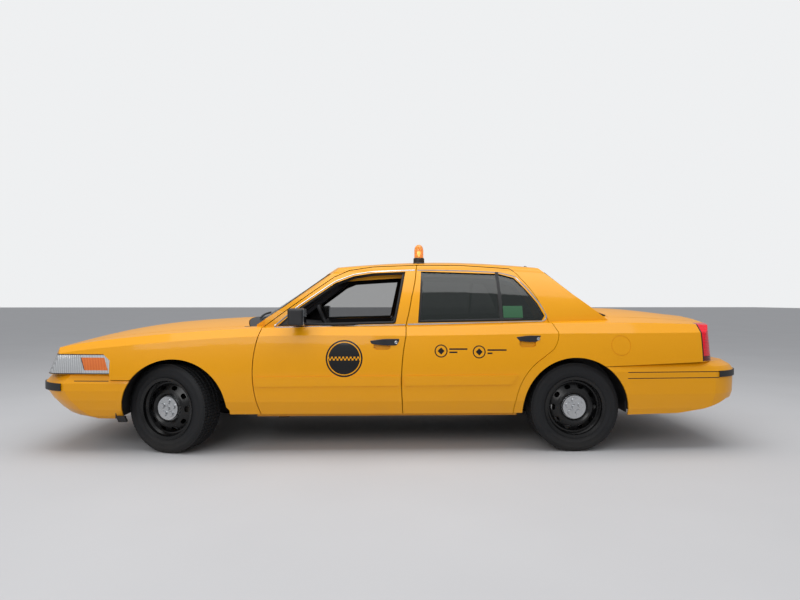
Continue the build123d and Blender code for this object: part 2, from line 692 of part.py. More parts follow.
# Plans: x of the tip, corner x and y, x where the corner has turned, side y, flare at the end
FRONT_BUMPER_PLAN = (-2761, -2729, 680, -2480, 928, 24)
REAR_BUMPER_PLAN = (2761, 2732, 700, 2470, 945, 50)
FRONT_BUMPER_SECTIONS = [(256, 250), (280, 186), (330, 118), (404, 50), (478, 6), (534, 0),
                         (600, 62)]
REAR_BUMPER_SECTIONS = [(262, 92), (330, 40), (440, 6), (614, 0), (648, 24), (686, 96)]
REAR_UNDERCUT = [(1500, 279), (2180, 290), (2380, 322), (2520, 366), (2590, 394), (2800, 394),
                 (2800, 0), (1500, 0)]
BUMPER_SHELF_X = 2430
FRONT_BUMPER_END = -1990
REAR_BUMPER_END = 1560


def bumper_form(plan, sections, end_x, inset, drop=0):
    """Closed form of a bumper cover, its skin moved inwards by inset and its top down by drop."""
    tip, corner_x, corner_y, turned_x, side_y, flare = plan
    sign = -1 if tip < 0 else 1
    top = sections[-1][0]
    with BuildPart() as form:
        for z, tuck in sections:
            z = z - drop if z == top else z
            d = tuck + inset
            front = sign * -d
            knee = (corner_x + front - sign * 88, corner_y + 150 - 0.35 * tuck - 0.6 * inset)
            side_x = turned_x + 0.9 * front
            near_y = side_y - 0.35 * tuck - inset
            with BuildSketch(Plane.XY.offset(z)):
                with BuildLine():
                    ThreePointArc((corner_x + front, -corner_y), (tip + front, 0),
                                  (corner_x + front, corner_y))
                    for flip in (1, -1):
                        ThreePointArc((corner_x + front, flip * corner_y),
                                      (knee[0], flip * knee[1]),
                                      (side_x, flip * near_y))
                        Line((side_x, flip * near_y), (end_x, flip * (near_y + flare)))
                    Line((end_x, near_y + flare), (end_x, -near_y - flare))
                make_face()
        loft(ruled=True)
    return form.part


front_outer = bumper_form(FRONT_BUMPER_PLAN, FRONT_BUMPER_SECTIONS, FRONT_BUMPER_END, 0)
rear_outer = bumper_form(REAR_BUMPER_PLAN, REAR_BUMPER_SECTIONS, REAR_BUMPER_END, 0)
GRILLE_HALF = 448
INTAKE = ((-520, 520), (300, 400))
with BuildPart() as bumper_front:
    add(front_outer)
    add(bumper_form(FRONT_BUMPER_PLAN, FRONT_BUMPER_SECTIONS, FRONT_BUMPER_END + 5, BUMPER_T),
        mode=Mode.SUBTRACT)
    block((-2900, -2500), *INTAKE, mode=Mode.SUBTRACT)
    block((-2128, FRONT_BUMPER_END), (-1100, 1100), (556, 700), mode=Mode.SUBTRACT)
    add(front_arch.part, mode=Mode.SUBTRACT)
    add(other_side(front_arch.part), mode=Mode.SUBTRACT)
PLATE_SEAT = ((-165, 165), (400, 558))
PLATE_WALL = 8
PLATE_X = 2718
PLATE_HOLE_PITCH = 178
PLATE_HOLE_R = 3.5
with BuildPart() as plate_pocket:
    (y0, y1), (z0, z1) = PLATE_SEAT
    block((PLATE_X - BUMPER_T, 2900), (y0 - PLATE_WALL, y1 + PLATE_WALL),
          (z0 - PLATE_WALL, z1 + PLATE_WALL))
    add(rear_outer, mode=Mode.INTERSECT)
with BuildPart() as bumper_rear:
    add(rear_outer)
    add(bumper_form(REAR_BUMPER_PLAN, REAR_BUMPER_SECTIONS, REAR_BUMPER_END - 5, BUMPER_T,
                    BUMPER_T), mode=Mode.SUBTRACT)
    block((REAR_BUMPER_END - 5, BUMPER_SHELF_X), (-890, 890), (500, 700), mode=Mode.SUBTRACT)
    add(plate_pocket.part)
    block((PLATE_X, 2900), *PLATE_SEAT, mode=Mode.SUBTRACT)
    with Locations(Location((PLATE_X, 0, sum(PLATE_SEAT[1]) / 2), (0, 90, 0))):
        with GridLocations(1, PLATE_HOLE_PITCH, 1, 2):
            Cylinder(PLATE_HOLE_R, 80, mode=Mode.SUBTRACT)
    add(side_prism([(x, z - 5) for x, z in REAR_SPLIT[:3]] + [(2900, 900), (1500, 900)],
                   inner_y=0), mode=Mode.SUBTRACT)
    add(other_side(side_prism([(x, z - 5) for x, z in REAR_SPLIT[:3]] + [(2900, 900), (1500, 900)],
                              inner_y=0)), mode=Mode.SUBTRACT)
    add(rear_arch.part, mode=Mode.SUBTRACT)
    add(other_side(rear_arch.part), mode=Mode.SUBTRACT)
    add(side_prism(REAR_UNDERCUT, inner_y=-DRAW_Y), mode=Mode.SUBTRACT)
with BuildPart() as bumpers:
    add(bumper_front.part)
    add(bumper_rear.part)
save(bumpers.part, "bumpers")

# Grille: a frame with upright bars between the headlamps
GRILLE_Z = (616, 744)
GRILLE_BARS = 13
with BuildPart() as grille:
    add(shell(low, lower_body(46)))
    block((-2900, -2500), (-GRILLE_HALF, GRILLE_HALF), GRILLE_Z, mode=Mode.INTERSECT)
    block((-2900, -2500), (18 - GRILLE_HALF, GRILLE_HALF - 18), (GRILLE_Z[0] + 16, GRILLE_Z[1] - 16),
          mode=Mode.SUBTRACT)
with BuildPart() as grille_bars:
    with Locations((-2660, 0, (GRILLE_Z[0] + GRILLE_Z[1]) / 2)):
        with GridLocations(1, (2 * GRILLE_HALF - 36) / (GRILLE_BARS + 1), 1, GRILLE_BARS):
            Box(300, 10, GRILLE_Z[1] - GRILLE_Z[0] - 20)
    add(shell(lower_body(8), lower_body(46)), mode=Mode.INTERSECT)
with BuildPart() as grille_whole:
    add(grille.part)
    add(grille_bars.part)
save(grille_whole.part, "grille")

# Rub strips on the bumpers
STRIP_T = 8
FRONT_STRIP_Z = (478, 534)
REAR_STRIP_Z = (567, 614)


def rub_strip(plan, z, end_x, start_x):
    """Strip round a bumper between two heights, from one end to the other."""
    flat = [(z[0], 0), (z[1], 0)]
    with BuildPart() as strip:
        add(bumper_form(plan, flat, end_x, -STRIP_T))
        add(bumper_form(plan, flat, end_x + (9 if plan[0] < 0 else -9), -0.3), mode=Mode.SUBTRACT)
        block((-3000, start_x) if plan[0] < 0 else (start_x, 3000), (-1100, 1100), z,
              mode=Mode.INTERSECT)
    return strip.part


with BuildPart() as rub_strips:
    add(rub_strip(FRONT_BUMPER_PLAN, FRONT_STRIP_Z, FRONT_BUMPER_END, -2500))
    add(rub_strip(REAR_BUMPER_PLAN, REAR_STRIP_Z, REAR_BUMPER_END, 2500))
save(rub_strips.part, "rub_strips")

# Floor, firewall, rear bulkhead and boot floor as one welded pan
FLOOR_Z = 352
FLOOR_T = 12
FLOOR_HALF = 688
FLOOR_LINE = [(-1120, 930), (-1090, 640), (-1000, FLOOR_Z), (740, FLOOR_Z), (860, 526),
              (1300, 540), (1400, 640), (1760, 640), (1800, 470), (2440, 470)]
TUNNEL = ((-1100, 850), (-165, 165), 530)
SHELF_Z = 990
with BuildPart() as floor_pan:
    with BuildSketch(side_plane(-FLOOR_HALF)):
        with BuildLine():
            Polyline(*FLOOR_LINE)
        trace(line_width=FLOOR_T)
    extrude(amount=2 * FLOOR_HALF)
    block(TUNNEL[0], TUNNEL[1], (FLOOR_Z - FLOOR_T, TUNNEL[2]))
    block((TUNNEL[0][0] - 40, TUNNEL[0][1] + 60), (TUNNEL[1][0] + FLOOR_T, TUNNEL[1][1] - FLOOR_T),
          (FLOOR_Z - 2 * FLOOR_T, TUNNEL[2] - FLOOR_T), mode=Mode.SUBTRACT)
    block((1392, 1404), (-FLOOR_HALF, FLOOR_HALF), (600, SHELF_Z))
    block((1392, 1640), (-FLOOR_HALF, FLOOR_HALF), (SHELF_Z - 12, SHELF_Z))
    block((-1132, -1090), (-FLOOR_HALF, FLOOR_HALF), (600, 940))
save(floor_pan.part, "floor_pan")

# Wheelhouses: half round shells over the wheels, each with an inner wall that is open where the
# suspension arms and the axle pass. Openings: x from and to, top z
ARM_WINDOW = ((-1880, -1480), 505)
AXLE_WINDOW = ((1300, 1460), 400)
with BuildPart() as wheelhouses:
    for (arch_x, arch_z, arch_r), inner_y, outer_y in ((ARCH_FRONT, FRONT_HOUSE_Y, 1000),
                                                      (ARCH_REAR, REAR_HOUSE_Y, 1000)):
        with BuildSketch(side_plane(inner_y)):
            with Locations((arch_x, arch_z)):
                Circle(arch_r + HOUSE_GAP + HOUSE_T)
        extrude(amount=outer_y - inner_y)
        with BuildSketch(side_plane(inner_y + HOUSE_T)):
            with Locations((arch_x, arch_z)):
                Circle(arch_r + HOUSE_GAP)
        extrude(amount=outer_y - inner_y, mode=Mode.SUBTRACT)
    block((-2400, 0), (-1100, 0), (-300, 330), mode=Mode.SUBTRACT)
    block((0, 2400), (-1100, 0), (-300, 300), mode=Mode.SUBTRACT)
    block(ARM_WINDOW[0], (-FRONT_HOUSE_Y - 20, 0), (0, ARM_WINDOW[1]), mode=Mode.SUBTRACT)
    block(AXLE_WINDOW[0], (-REAR_HOUSE_Y - 10, 0), (0, AXLE_WINDOW[1]), mode=Mode.SUBTRACT)
    block((-1160, 0), (-1100, -FENDER_INNER_Y), (0, 1000), mode=Mode.SUBTRACT)
    add(low_panel, mode=Mode.INTERSECT)
    add(shell(front_outer, bumper_form(FRONT_BUMPER_PLAN, FRONT_BUMPER_SECTIONS,
                                       FRONT_BUMPER_END + 5, BUMPER_T + 2)), mode=Mode.SUBTRACT)
    add(shell(rear_outer, bumper_form(REAR_BUMPER_PLAN, REAR_BUMPER_SECTIONS,
                                      REAR_BUMPER_END - 5, BUMPER_T + 2)), mode=Mode.SUBTRACT)
    mirror(about=Plane.XZ)
save(wheelhouses.part, "wheelhouses")

# Ladder frame: two stepped rails, and cross members between or under them
RAIL_W, RAIL_H = 76, 108
# Runs of a rail: from x, to x, middle y, bottom z. Steps: x, y and z from and to
RAIL_RUNS = [(-2600, -1130, 395, 330), (-1130, 960, 600, 236), (960, 1780, 470, 390),
             (1780, 2560, 470, 356)]
RAIL_STEPS = [(-1190, -1120, 357, 638, 236, 438), (900, 990, 432, 638, 236, 498),
              (1700, 1780, 432, 508, 356, 498)]
# Cross members: middle x, bottom z, top z, width along the car, half length
CROSS_MEMBERS = [(-2520, 350, 434, 90, 357), (-900, 200, 284, 80, 562), (300, 236, 320, 70, 562),
                 (1812, 376, 460, 70, 432), (2500, 370, 454, 70, 432)]
CRADLE = (-1740, 246, 330, 120, 433)        # under the rails, carries the engine
with BuildPart() as chassis_frame:
    for x0, x1, y, z in RAIL_RUNS:
        block((x0, x1), (-y - RAIL_W / 2, -y + RAIL_W / 2), (z, z + RAIL_H))
    for x0, x1, y0, y1, z0, z1 in RAIL_STEPS:
        block((x0, x1), (-y1, -y0), (z0, z1))
    mirror(about=Plane.XZ)
save(chassis_frame.part, "chassis_frame")
with BuildPart() as cross_members:
    for x, z0, z1, w, half in [*CROSS_MEMBERS, CRADLE]:
        block((x - w / 2, x + w / 2), (-half, half), (z0, z1))

# Engine as a plain block, gearbox and propeller shaft
with BuildPart() as powertrain:
    block((-2180, -1500), (-270, 270), (345, 860))
    with BuildSketch(cross_plane(-1500)):
        with Locations((0, 400)):
            Circle(150)
    with BuildSketch(cross_plane(-760)):
        with Locations((0, 380)):
            Circle(75)
    loft()
    with BuildSketch(cross_plane(-770)):
        with Locations((0, 378)):
            Circle(38)
    extrude(amount=REAR_AXLE_X - 196 + 770)
save(powertrain.part, "powertrain")

# Radiator and its support panel behind the grille
with BuildPart() as radiator:
    block((-2500, -2440), (-400, 400), (445, 745))
    block((-2540, -2500), (-360, 360), (470, 730))
    block((-2500, -2440), (-430, 430), (438, 462))
save(radiator.part, "radiator")

# Fuel tank and exhaust
with BuildPart() as fuel_tank:
    block((1860, 2420), (-400, 400), (300, 440))
    fillet(fuel_tank.edges().filter_by(Axis.Z), 40)
save(fuel_tank.part, "fuel_tank")
with BuildPart() as exhaust:
    with BuildLine() as pipe_line:
        FilletPolyline((-1490, 285, 345), (-1300, 350, 170), (-1050, 420, 168), (820, 420, 168),
                       radius=120)
    with BuildSketch(Plane(origin=pipe_line.line @ 0, z_dir=pipe_line.line % 0)):
        Circle(27)
    sweep()
    with BuildSketch(cross_plane(100)):
        with Locations((420, 180)):
            Ellipse(110, 50)
    extrude(amount=560)
save(exhaust.part, "exhaust")

# Rear axle: tubes, differential housing and stub ends for the wheels
with BuildPart() as rear_axle:
    with Locations(Location((REAR_AXLE_X, 0, TYRE_R), (90, 0, 0))):
        Cylinder(40, 2 * (REAR_TRACK / 2 - 96))
        Cylinder(STUB_R, 2 * (REAR_TRACK / 2 - 30))
    with Locations((REAR_AXLE_X, 0, TYRE_R)):
        Sphere(148)
    with Locations(Location((REAR_AXLE_X - 150, 0, TYRE_R + 10), (0, 90, 0))):
        Cylinder(52, 90)
save(rear_axle.part, "rear_axle")

# Wheels: tyre, pressed steel wheel with vents, hub with brake disc. Each is made with its axis
# along Y and its outer face towards -Y, then placed.
BEAD_R = 219
TYRE_BEAD_HALF = 100
# Columns: radius, half width
TYRE_SECTION = [(BEAD_R, TYRE_BEAD_HALF), (286, TYRE_WIDTH / 2), (326, 107),
                (TYRE_R, TREAD_WIDTH / 2)]
with BuildPart() as tyre:
    with BuildSketch(Plane.XY):
        with BuildLine():
            for flip in (1, -1):
                Polyline(*[(r, flip * half) for r, half in TYRE_SECTION])
            Line((BEAD_R, -TYRE_BEAD_HALF), (BEAD_R, TYRE_BEAD_HALF))
            Line((TYRE_R, -TREAD_WIDTH / 2), (TYRE_R, TREAD_WIDTH / 2))
        make_face()
    revolve(axis=Axis.Y)

with BuildPart() as wheel:
    with BuildSketch(Plane.XY):
        with BuildLine():
            Polyline((RIM_FLANGE_R, -112), (RIM_FLANGE_R, -108), (BEAD_R - 0.3, -100),
                     (BEAD_R - 0.3, -74), (203, -60), (203, 40), (BEAD_R - 0.3, 66),
                     (BEAD_R - 0.3, 100), (RIM_FLANGE_R, 108), (RIM_FLANGE_R, 112),
                     (BEAD_R - 8, 104), (BEAD_R - 8, 66), (195, 44), (195, -56), (BEAD_R - 8, -74),
                     (BEAD_R - 8, -104), (RIM_FLANGE_R, -112))
        make_face()
    revolve(axis=Axis.Y)
    with BuildSketch(Plane.XY):
        with BuildLine():
            Polyline((200, -58), (186, -58), (172, -66), (138, -86), (122, -92), (108, -84), (96, -72),
                     (0, -72), (0, -48), (90, -48), (104, -74), (120, -84), (134, -78), (168, -58),
                     (186, -48), (200, -48), (200, -58))
        make_face()
    revolve(axis=Axis.Y)
    with BuildSketch(side_plane(40)):
        with PolarLocations(VENT_CIRCLE_R, VENT_COUNT):
            SlotOverall(VENT_LENGTH, VENT_WIDTH, rotation=90)
    extrude(amount=80, mode=Mode.SUBTRACT)
    with Locations(Location((0, -26, 0), (90, 0, 0))):
        Cylinder(HUB_R, 46)
    with Locations(Location((0, BRAKE_DISC_Y, 0), (90, 0, 0))):
        Cylinder(BRAKE_DISC_R, BRAKE_DISC_T)
    with BuildSketch(side_plane(70)):
        Circle(HUB_CAP_R)
    extrude(amount=HUB_CAP_HEIGHT - 12, taper=12)
    with BuildSketch(side_plane(70)):
        Circle(22)
        with PolarLocations(50, CAP_LOBES, start_angle=90):
            Circle(24)
    extrude(amount=HUB_CAP_HEIGHT, taper=8)
    with Locations(Location((0, -14, 0), (90, 0, 0))):
        Cylinder(STUB_R + STUB_FIT, 100, mode=Mode.SUBTRACT)


def placed(piece, x, side, track, steer):
    """A wheel piece at its place; side is -1 on the driver's side and 1 on the other."""
    piece = piece if side < 0 else other_side(piece)
    kingpin = Location((x, side * (track / 2 - KINGPIN_IN), TYRE_R), (0, 0, -steer))
    with BuildPart() as copy:
        with Locations(kingpin * Location((0, side * KINGPIN_IN, 0))):
            add(piece)
    return copy.part


# Steering knuckle with its stub axle, ball joint housings, steering arm and brake caliper
BALL_Z = 112
BALL_R = 25
BALL_H = 40
PIN_R = 9
with BuildPart() as knuckle:
    with Locations(Location((0, 16, 0), (90, 0, 0))):
        Cylinder(56, 26)
    with Locations(Location((0, -12, 0), (90, 0, 0))):
        Cylinder(STUB_R, 80)
    block((-24, 24), (6, KINGPIN_IN + 14), (-BALL_Z, BALL_Z))
    for z in (-BALL_Z, BALL_Z):
        with Locations((0, KINGPIN_IN, z)):
            Cylinder(BALL_R, BALL_H)
            Cylinder(PIN_R + STUB_FIT, BALL_H + 2, mode=Mode.SUBTRACT)
    block((-150, -20), (14, 38), (-60, -24))
    block((84, 172), (-42, 40), (-56, 76))
    with Locations(Location((0, BRAKE_DISC_Y, 0), (90, 0, 0))):
        Cylinder(BRAKE_DISC_R + 5, BRAKE_DISC_T + 10, mode=Mode.SUBTRACT)
    with Locations(Location((0, -16, 0), (90, 0, 0))):
        Cylinder(STUB_R, 72)
    block((50, 120), (8, 40), (-56, 56))

for end, x, track, steer in (("front", FRONT_AXLE_X, FRONT_TRACK, STEER_AT_REST),
                             ("rear", REAR_AXLE_X, REAR_TRACK, 0)):
    for side, sign in (("left", -1), ("right", 1)):
        save(placed(tyre.part, x, sign, track, steer), f"tyre_{end}_{side}")
        save(placed(wheel.part, x, sign, track, steer), f"wheel_{end}_{side}")
        if end == "front":
            save(placed(knuckle.part, x, sign, track, steer), f"knuckle_{side}")

# Front suspension arms bolted to the frame: a lower and an upper wishbone on each side, with the
# ball joint pins
ARM_T = 20
LOWER_ARM_Z = TYRE_R - BALL_Z - BALL_H / 2 - ARM_T / 2 - 0.3
UPPER_ARM_Z = TYRE_R + BALL_Z + BALL_H / 2 + ARM_T / 2 + 0.3
BALL_Y = FRONT_TRACK / 2 - KINGPIN_IN
with BuildPart() as front_arms:
    for z, reach, inner_y in ((LOWER_ARM_Z, 170, 405), (UPPER_ARM_Z, 110, 455)):
        with BuildSketch(Plane.XY.offset(z - ARM_T / 2)):
            with BuildLine():
                Polyline((FRONT_AXLE_X - 26, -BALL_Y), (FRONT_AXLE_X - reach, -inner_y),
                         (FRONT_AXLE_X - reach + 60, -inner_y), (FRONT_AXLE_X, -BALL_Y + 90),
                         (FRONT_AXLE_X + reach - 60, -inner_y), (FRONT_AXLE_X + reach, -inner_y),
                         (FRONT_AXLE_X + 26, -BALL_Y), (FRONT_AXLE_X - 26, -BALL_Y))
            make_face()
            with Locations((FRONT_AXLE_X, -BALL_Y)):
                Circle(26)
        extrude(amount=ARM_T)
        with Locations(Location((FRONT_AXLE_X, -inner_y, z), (0, 90, 0))):
            Cylinder(20, 2 * reach)
    pin = BALL_H / 2
    for z, rise in ((LOWER_ARM_Z + ARM_T / 2, 1), (UPPER_ARM_Z - ARM_T / 2, -1)):
        with Locations((FRONT_AXLE_X, -BALL_Y, z + rise * pin / 2)):
            Cylinder(PIN_R, pin)
    mirror(about=Plane.XZ)
with BuildPart() as members_whole:
    add(cross_members.part)
    add(front_arms.part)
save(members_whole.part, "cross_members")

# Seats, dashboard and steering wheel
with BuildPart() as front_seats:
    for y in (-390, 390):
        with BuildSketch(Plane.XZ.offset(-y - 215)):
            with BuildLine():
                Polyline((-560, 500), (-560, 610), (-100, 590), (60, 1050), (150, 1050), (70, 520),
                         (-560, 500))
            make_face()
            fillet(vertices(), 30)
        extrude(amount=430)
        block((66, 136), (y - 130, y + 130), (1040, 1230))
        block((-460, -20), (y - 170, y + 170), (FLOOR_Z + FLOOR_T / 2, 510))
save(front_seats.part, "front_seats")
with BuildPart() as rear_seat:
    with BuildSketch(Plane.XZ.offset(-660)):
        with BuildLine():
            Polyline((830, 546), (830, 690), (1220, 660), (1330, 1060), (1391, 1060), (1391, 660),
                     (1290, 556), (830, 546))
        make_face()
    extrude(amount=1320)
save(rear_seat.part, "rear_seat")
with BuildPart() as dashboard:
    with BuildSketch(Plane.XZ.offset(-680)):
        with BuildLine():
            Polyline((-1080, 640), (-1080, 930), (-960, 968), (-720, 950), (-660, 860), (-760, 700),
                     (-900, 640), (-1080, 640))
        make_face()
        fillet(vertices(), 12)
    extrude(amount=1360)
STEERING_AT = (-545, -390, 950)
STEERING_R = 190
with BuildPart() as steering_wheel:
    with Locations(Location(STEERING_AT, (0, 62, 0))):
        Torus(STEERING_R - 15, 15)
        Cylinder(52, 36)
        Box(34, 2 * STEERING_R - 30, 14)
        with Locations((0, 0, -110)):
            Cylinder(30, 220)
save(steering_wheel.part, "steering_wheel")
with BuildPart() as dashboard_bored:
    add(dashboard.part)
    add(steering_wheel.part, mode=Mode.SUBTRACT)
save(dashboard_bored.part, "dashboard")

# Door mirrors and the roof beacon
with BuildPart() as mirror_sail:
    add(high_seat)
    add(greenhouse(GLASS_SET + SAIL_T), mode=Mode.SUBTRACT)
    add(side_prism(SAIL), mode=Mode.INTERSECT)
    add(front_window, mode=Mode.INTERSECT)
with BuildPart() as mirror_left:
    block((-784, -668), (-1128, -960), (970, 1098))
    fillet(mirror_left.edges(), 20)
    with BuildSketch(side_plane(830)):
        with BuildLine():
            Polyline((-770, 1000), (-702, 1000), (-702, 1050), (-770, 1050), (-770, 1000))
        make_face()
    extrude(amount=160)
    add(greenhouse(GLASS_SET + 2), mode=Mode.SUBTRACT)
    add(mirror_sail.part)
save(mirror_left.part, "mirror_left")
save(other_side(mirror_left.part), "mirror_right")
BEACON_AT = (213, -420)
with BuildPart() as roof_beacon:
    with Locations((*BEACON_AT, 1506)):
        Box(116, 96, 10)
    with Locations((*BEACON_AT, 1622)):
        Box(108, 90, 8)
    with Locations((*BEACON_AT, 1564)):
        Box(88, 70, 112)
    with Locations((*BEACON_AT, 1480)):
        Cylinder(40, 52)
    add(high, mode=Mode.SUBTRACT)
save(roof_beacon.part, "roof_beacon")
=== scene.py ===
from math import cos, exp, pi, radians, sin

import bpy
from mathutils import Matrix, Vector


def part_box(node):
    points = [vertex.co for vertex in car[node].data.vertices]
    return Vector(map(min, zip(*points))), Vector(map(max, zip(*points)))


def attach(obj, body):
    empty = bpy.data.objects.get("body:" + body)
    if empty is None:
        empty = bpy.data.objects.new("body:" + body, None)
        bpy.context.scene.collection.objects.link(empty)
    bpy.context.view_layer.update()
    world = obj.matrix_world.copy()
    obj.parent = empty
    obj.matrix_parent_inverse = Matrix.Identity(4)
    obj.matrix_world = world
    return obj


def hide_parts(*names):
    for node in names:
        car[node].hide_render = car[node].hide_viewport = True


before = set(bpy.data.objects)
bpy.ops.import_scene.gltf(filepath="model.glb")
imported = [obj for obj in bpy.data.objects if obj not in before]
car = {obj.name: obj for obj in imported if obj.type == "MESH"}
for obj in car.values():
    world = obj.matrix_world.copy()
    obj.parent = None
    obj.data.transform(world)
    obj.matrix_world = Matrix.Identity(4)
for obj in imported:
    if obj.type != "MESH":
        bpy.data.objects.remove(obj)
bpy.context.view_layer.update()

# Painted body. Pressed steel panels in yellow enamel under a clear coat, with a faint orange peel
# and road dust low down. Their inner faces carry grey trim in the cabin, and the roof a pale
# headliner, glued over padding.


class Signal:
    """A shader socket. Python arithmetic on it adds Math nodes to the same material."""

    def __init__(self, tree, socket=None):
        self.tree = tree
        self.socket = socket

    def add(self, kind, settings=None, inputs=None, out=0):
        """Add a node, with its settings first and then the values or links of its sockets."""
        node = self.tree.nodes.new(kind)
        for key, value in (settings or {}).items():
            setattr(node, key, value)
        for key, value in (inputs or {}).items():
            if isinstance(value, Signal):
                self.tree.links.new(value.socket, node.inputs[key])
            else:
                node.inputs[key].default_value = value
        return Signal(self.tree, node.outputs[out])

    def math(self, operation, other=0.0, third=0.0, clamp=False):
        return self.add("ShaderNodeMath", {"operation": operation, "use_clamp": clamp},
                        {0: self, 1: other, 2: third})

    def __add__(self, other):
        return self.math("ADD", other)

    def __sub__(self, other):
        return self.math("SUBTRACT", other)

    def __mul__(self, other):
        return self.math("MULTIPLY", other)

    def __rsub__(self, other):
        return self.math("MULTIPLY", -1.0) + other

    def __or__(self, other):
        return self.math("MAXIMUM", other)

    def __lt__(self, other):
        return self.math("LESS_THAN", other)

    def __gt__(self, other):
        return self.math("GREATER_THAN", other)

    __radd__ = __add__
    __rmul__ = __mul__

    def clamp(self):
        return self.math("ADD", 0.0, clamp=True)

    def size(self):
        return self.math("ABSOLUTE")

    def near(self, centre, reach):
        """1 where this value lies within reach of centre, else 0."""
        return (self - centre).size() < reach

    def span(self, low, high):
        return self.near((low + high) / 2, (high - low) / 2)

    def mix(self, low, high):
        """Blend two colours by this signal."""
        return self.add("ShaderNodeMix", {"data_type": "RGBA"}, {0: self, 6: low, 7: high}, out=2)

    def noise(self, scale, detail=3.0, roughness=0.5):
        """Noise on this vector, from 0 to 1."""
        return self.add("ShaderNodeTexNoise", None,
                        {"Vector": self, "Scale": scale, "Detail": detail, "Roughness": roughness})

    def parts(self):
        """The three components of this vector."""
        split = self.add("ShaderNodeSeparateXYZ", None, {0: self})
        return [Signal(self.tree, socket) for socket in split.socket.node.outputs]

    def bump(self, distance, strength=1.0):
        """Normal for a surface raised by this signal times distance."""
        return self.add("ShaderNodeBump", None,
                        {"Height": self, "Distance": distance, "Strength": strength})


def rgb(red, green, blue):
    """Linear colour from the 0 to 255 values of a screen."""
    parts = [c / 255 for c in (red, green, blue)]
    linear = [c / 12.92 if c <= 0.04045 else ((c + 0.055) / 1.055) ** 2.4 for c in parts]
    return (*linear, 1.0)


class Finish:
    """A material under construction: its shader, and the place and facing as signals."""

    def __init__(self, name, **constants):
        self.material = bpy.data.materials.new(name)
        self.material.use_nodes = True
        self.tree = self.material.node_tree
        self.shader = self.tree.nodes["Principled BSDF"]
        self.place = Signal(self.tree).add("ShaderNodeTexCoord", out=3)
        self.facing = Signal(self.tree).add("ShaderNodeTexCoord", out=1)
        for key, value in constants.items():
            self.set(key.replace("_", " "), value)

    def set(self, key, value):
        if isinstance(value, Signal):
            self.tree.links.new(value.socket, self.shader.inputs[key])
        else:
            self.shader.inputs[key].default_value = value

    def dust(self, color, rough, amount, top=0.46):
        """Road dust that thins out upwards."""
        z = self.place.parts()[2]
        low = ((top - z) * 2.4).clamp() * self.place.noise(11.0, 6.0, 0.65) * amount
        return low.clamp().mix(color, rgb(150, 140, 124)), (rough + low * 0.5).clamp()


def surface(name, dark, light, roughness, mottle=6.0, grain=None, dust=0.0, **constants):
    """A finish whose colour drifts from dark to light in patches mottle to the metre, with
    roughness from low to high, a grain of (cells to the metre, depth), and dust low down."""
    made = Finish(name, **constants)
    patches = made.place.noise(mottle, 4.0, 0.6)
    color = patches.math("MULTIPLY_ADD", 2.2, -0.6, clamp=True).mix(dark, light)
    rough = patches * (roughness[1] - roughness[0]) + roughness[0]
    if dust:
        color, rough = made.dust(color, rough, dust)
    made.set("Base Color", color)
    made.set("Roughness", rough)
    if grain:
        made.set("Normal", made.place.noise(grain[0], 2.0).bump(grain[1]))
    return made.material


def give(material, *names):
    """Put one material on CAD pieces."""
    for name in names:
        for slot in car[name].material_slots:
            slot.material = material
        if not car[name].material_slots:
            car[name].data.materials.append(material)


PAINT_DARK, PAINT_LIGHT = rgb(232, 156, 4), rgb(238, 164, 6)
# Black of the door lettering, also used for the painted shade in the bumpers' grooves.
PRINT_AND_GROOVE_SHADE_BLACK = rgb(22, 22, 24)
PAINT_COAT = 0.3
CABIN_FLOOR_Z = 0.95          # above this, faces that look down belong to the cabin's openings
TRIM_GREY, HEADLINER = rgb(58, 58, 62), rgb(168, 166, 160)


def enamel(name, marks=None, lining=None, lining_color=TRIM_GREY):
    """Yellow enamel. marks gives a mask of black lettering and of black lines of painted shade in
    grooves, and lining a mask of the faces that carry trim."""
    made = Finish(name, Coat_Roughness=0.06, Specular_IOR_Level=0.2)
    patches = made.place.noise(1.2, 4.0, 0.6)
    color, rough = made.dust(patches.mix(PAINT_DARK, PAINT_LIGHT), patches * 0.08 + 0.34, 0.22)
    coat = PAINT_COAT
    # Black lettering, and painted shade in grooves, go on in the one black.
    if marks:
        black = marks(made)
        color = black.mix(color, PRINT_AND_GROOVE_SHADE_BLACK)
    if lining:
        inner = lining(made)
        color = inner.mix(color, lining_color)
        rough = (rough + inner * 0.55).clamp()
        coat = (1.0 - inner) * PAINT_COAT
    made.set("Base Color", color)
    made.set("Roughness", rough)
    made.set("Coat Weight", coat)
    made.set("Normal", made.place.noise(900.0, 2.0).bump(0.00004))
    return made.material


def inward(made):
    """The faces of a body side that look into the car."""
    x, y, z = made.place.parts()
    across = y.math("SIGN") * made.facing.parts()[1]
    return (across < -0.3) | ((made.facing.parts()[2] < -0.5) * (z > CABIN_FLOOR_Z))


def downward(made):
    """The faces of a lid or roof that look down."""
    return made.facing.parts()[2] < -0.3


give(enamel("yellow_enamel"), "rear_deck", "fenders", "trunk_lid")
give(enamel("yellow_sides", lining=inward), "body_side_left", "body_side_right")
give(enamel("yellow_roof", lining=downward, lining_color=HEADLINER), "roof_panel")
give(enamel("yellow_hood", lining=downward), "hood")

# Bumpers. Plastic covers in the body's yellow, clipped on, with moulded grooves along their ends,
# whose shade is painted in as thin black lines.

GROOVES = [(-2.40, -2.14, 0.5525), (1.77, 2.50, 0.609), (1.77, 2.50, 0.563)]
GROOVE_HALF = 0.003
SIDE_Y = 0.78


def groove_shade_lines(made):
    """Painted shade: thin black lines in the grooves along the bumpers' ends."""
    x, y, z = made.place.parts()
    lines = [x.span(start, end) * z.near(height, GROOVE_HALF) for start, end, height in GROOVES]
    return (lines[0] | lines[1] | lines[2]) * (y.size() > SIDE_Y)


give(enamel("yellow_bumpers", marks=groove_shade_lines), "bumpers")

# Door skins. Steel panels with black lettering cut from film, which is left as plain marks: a
# disc with a band of checks on the front door, and two roundels with bars on the rear door.

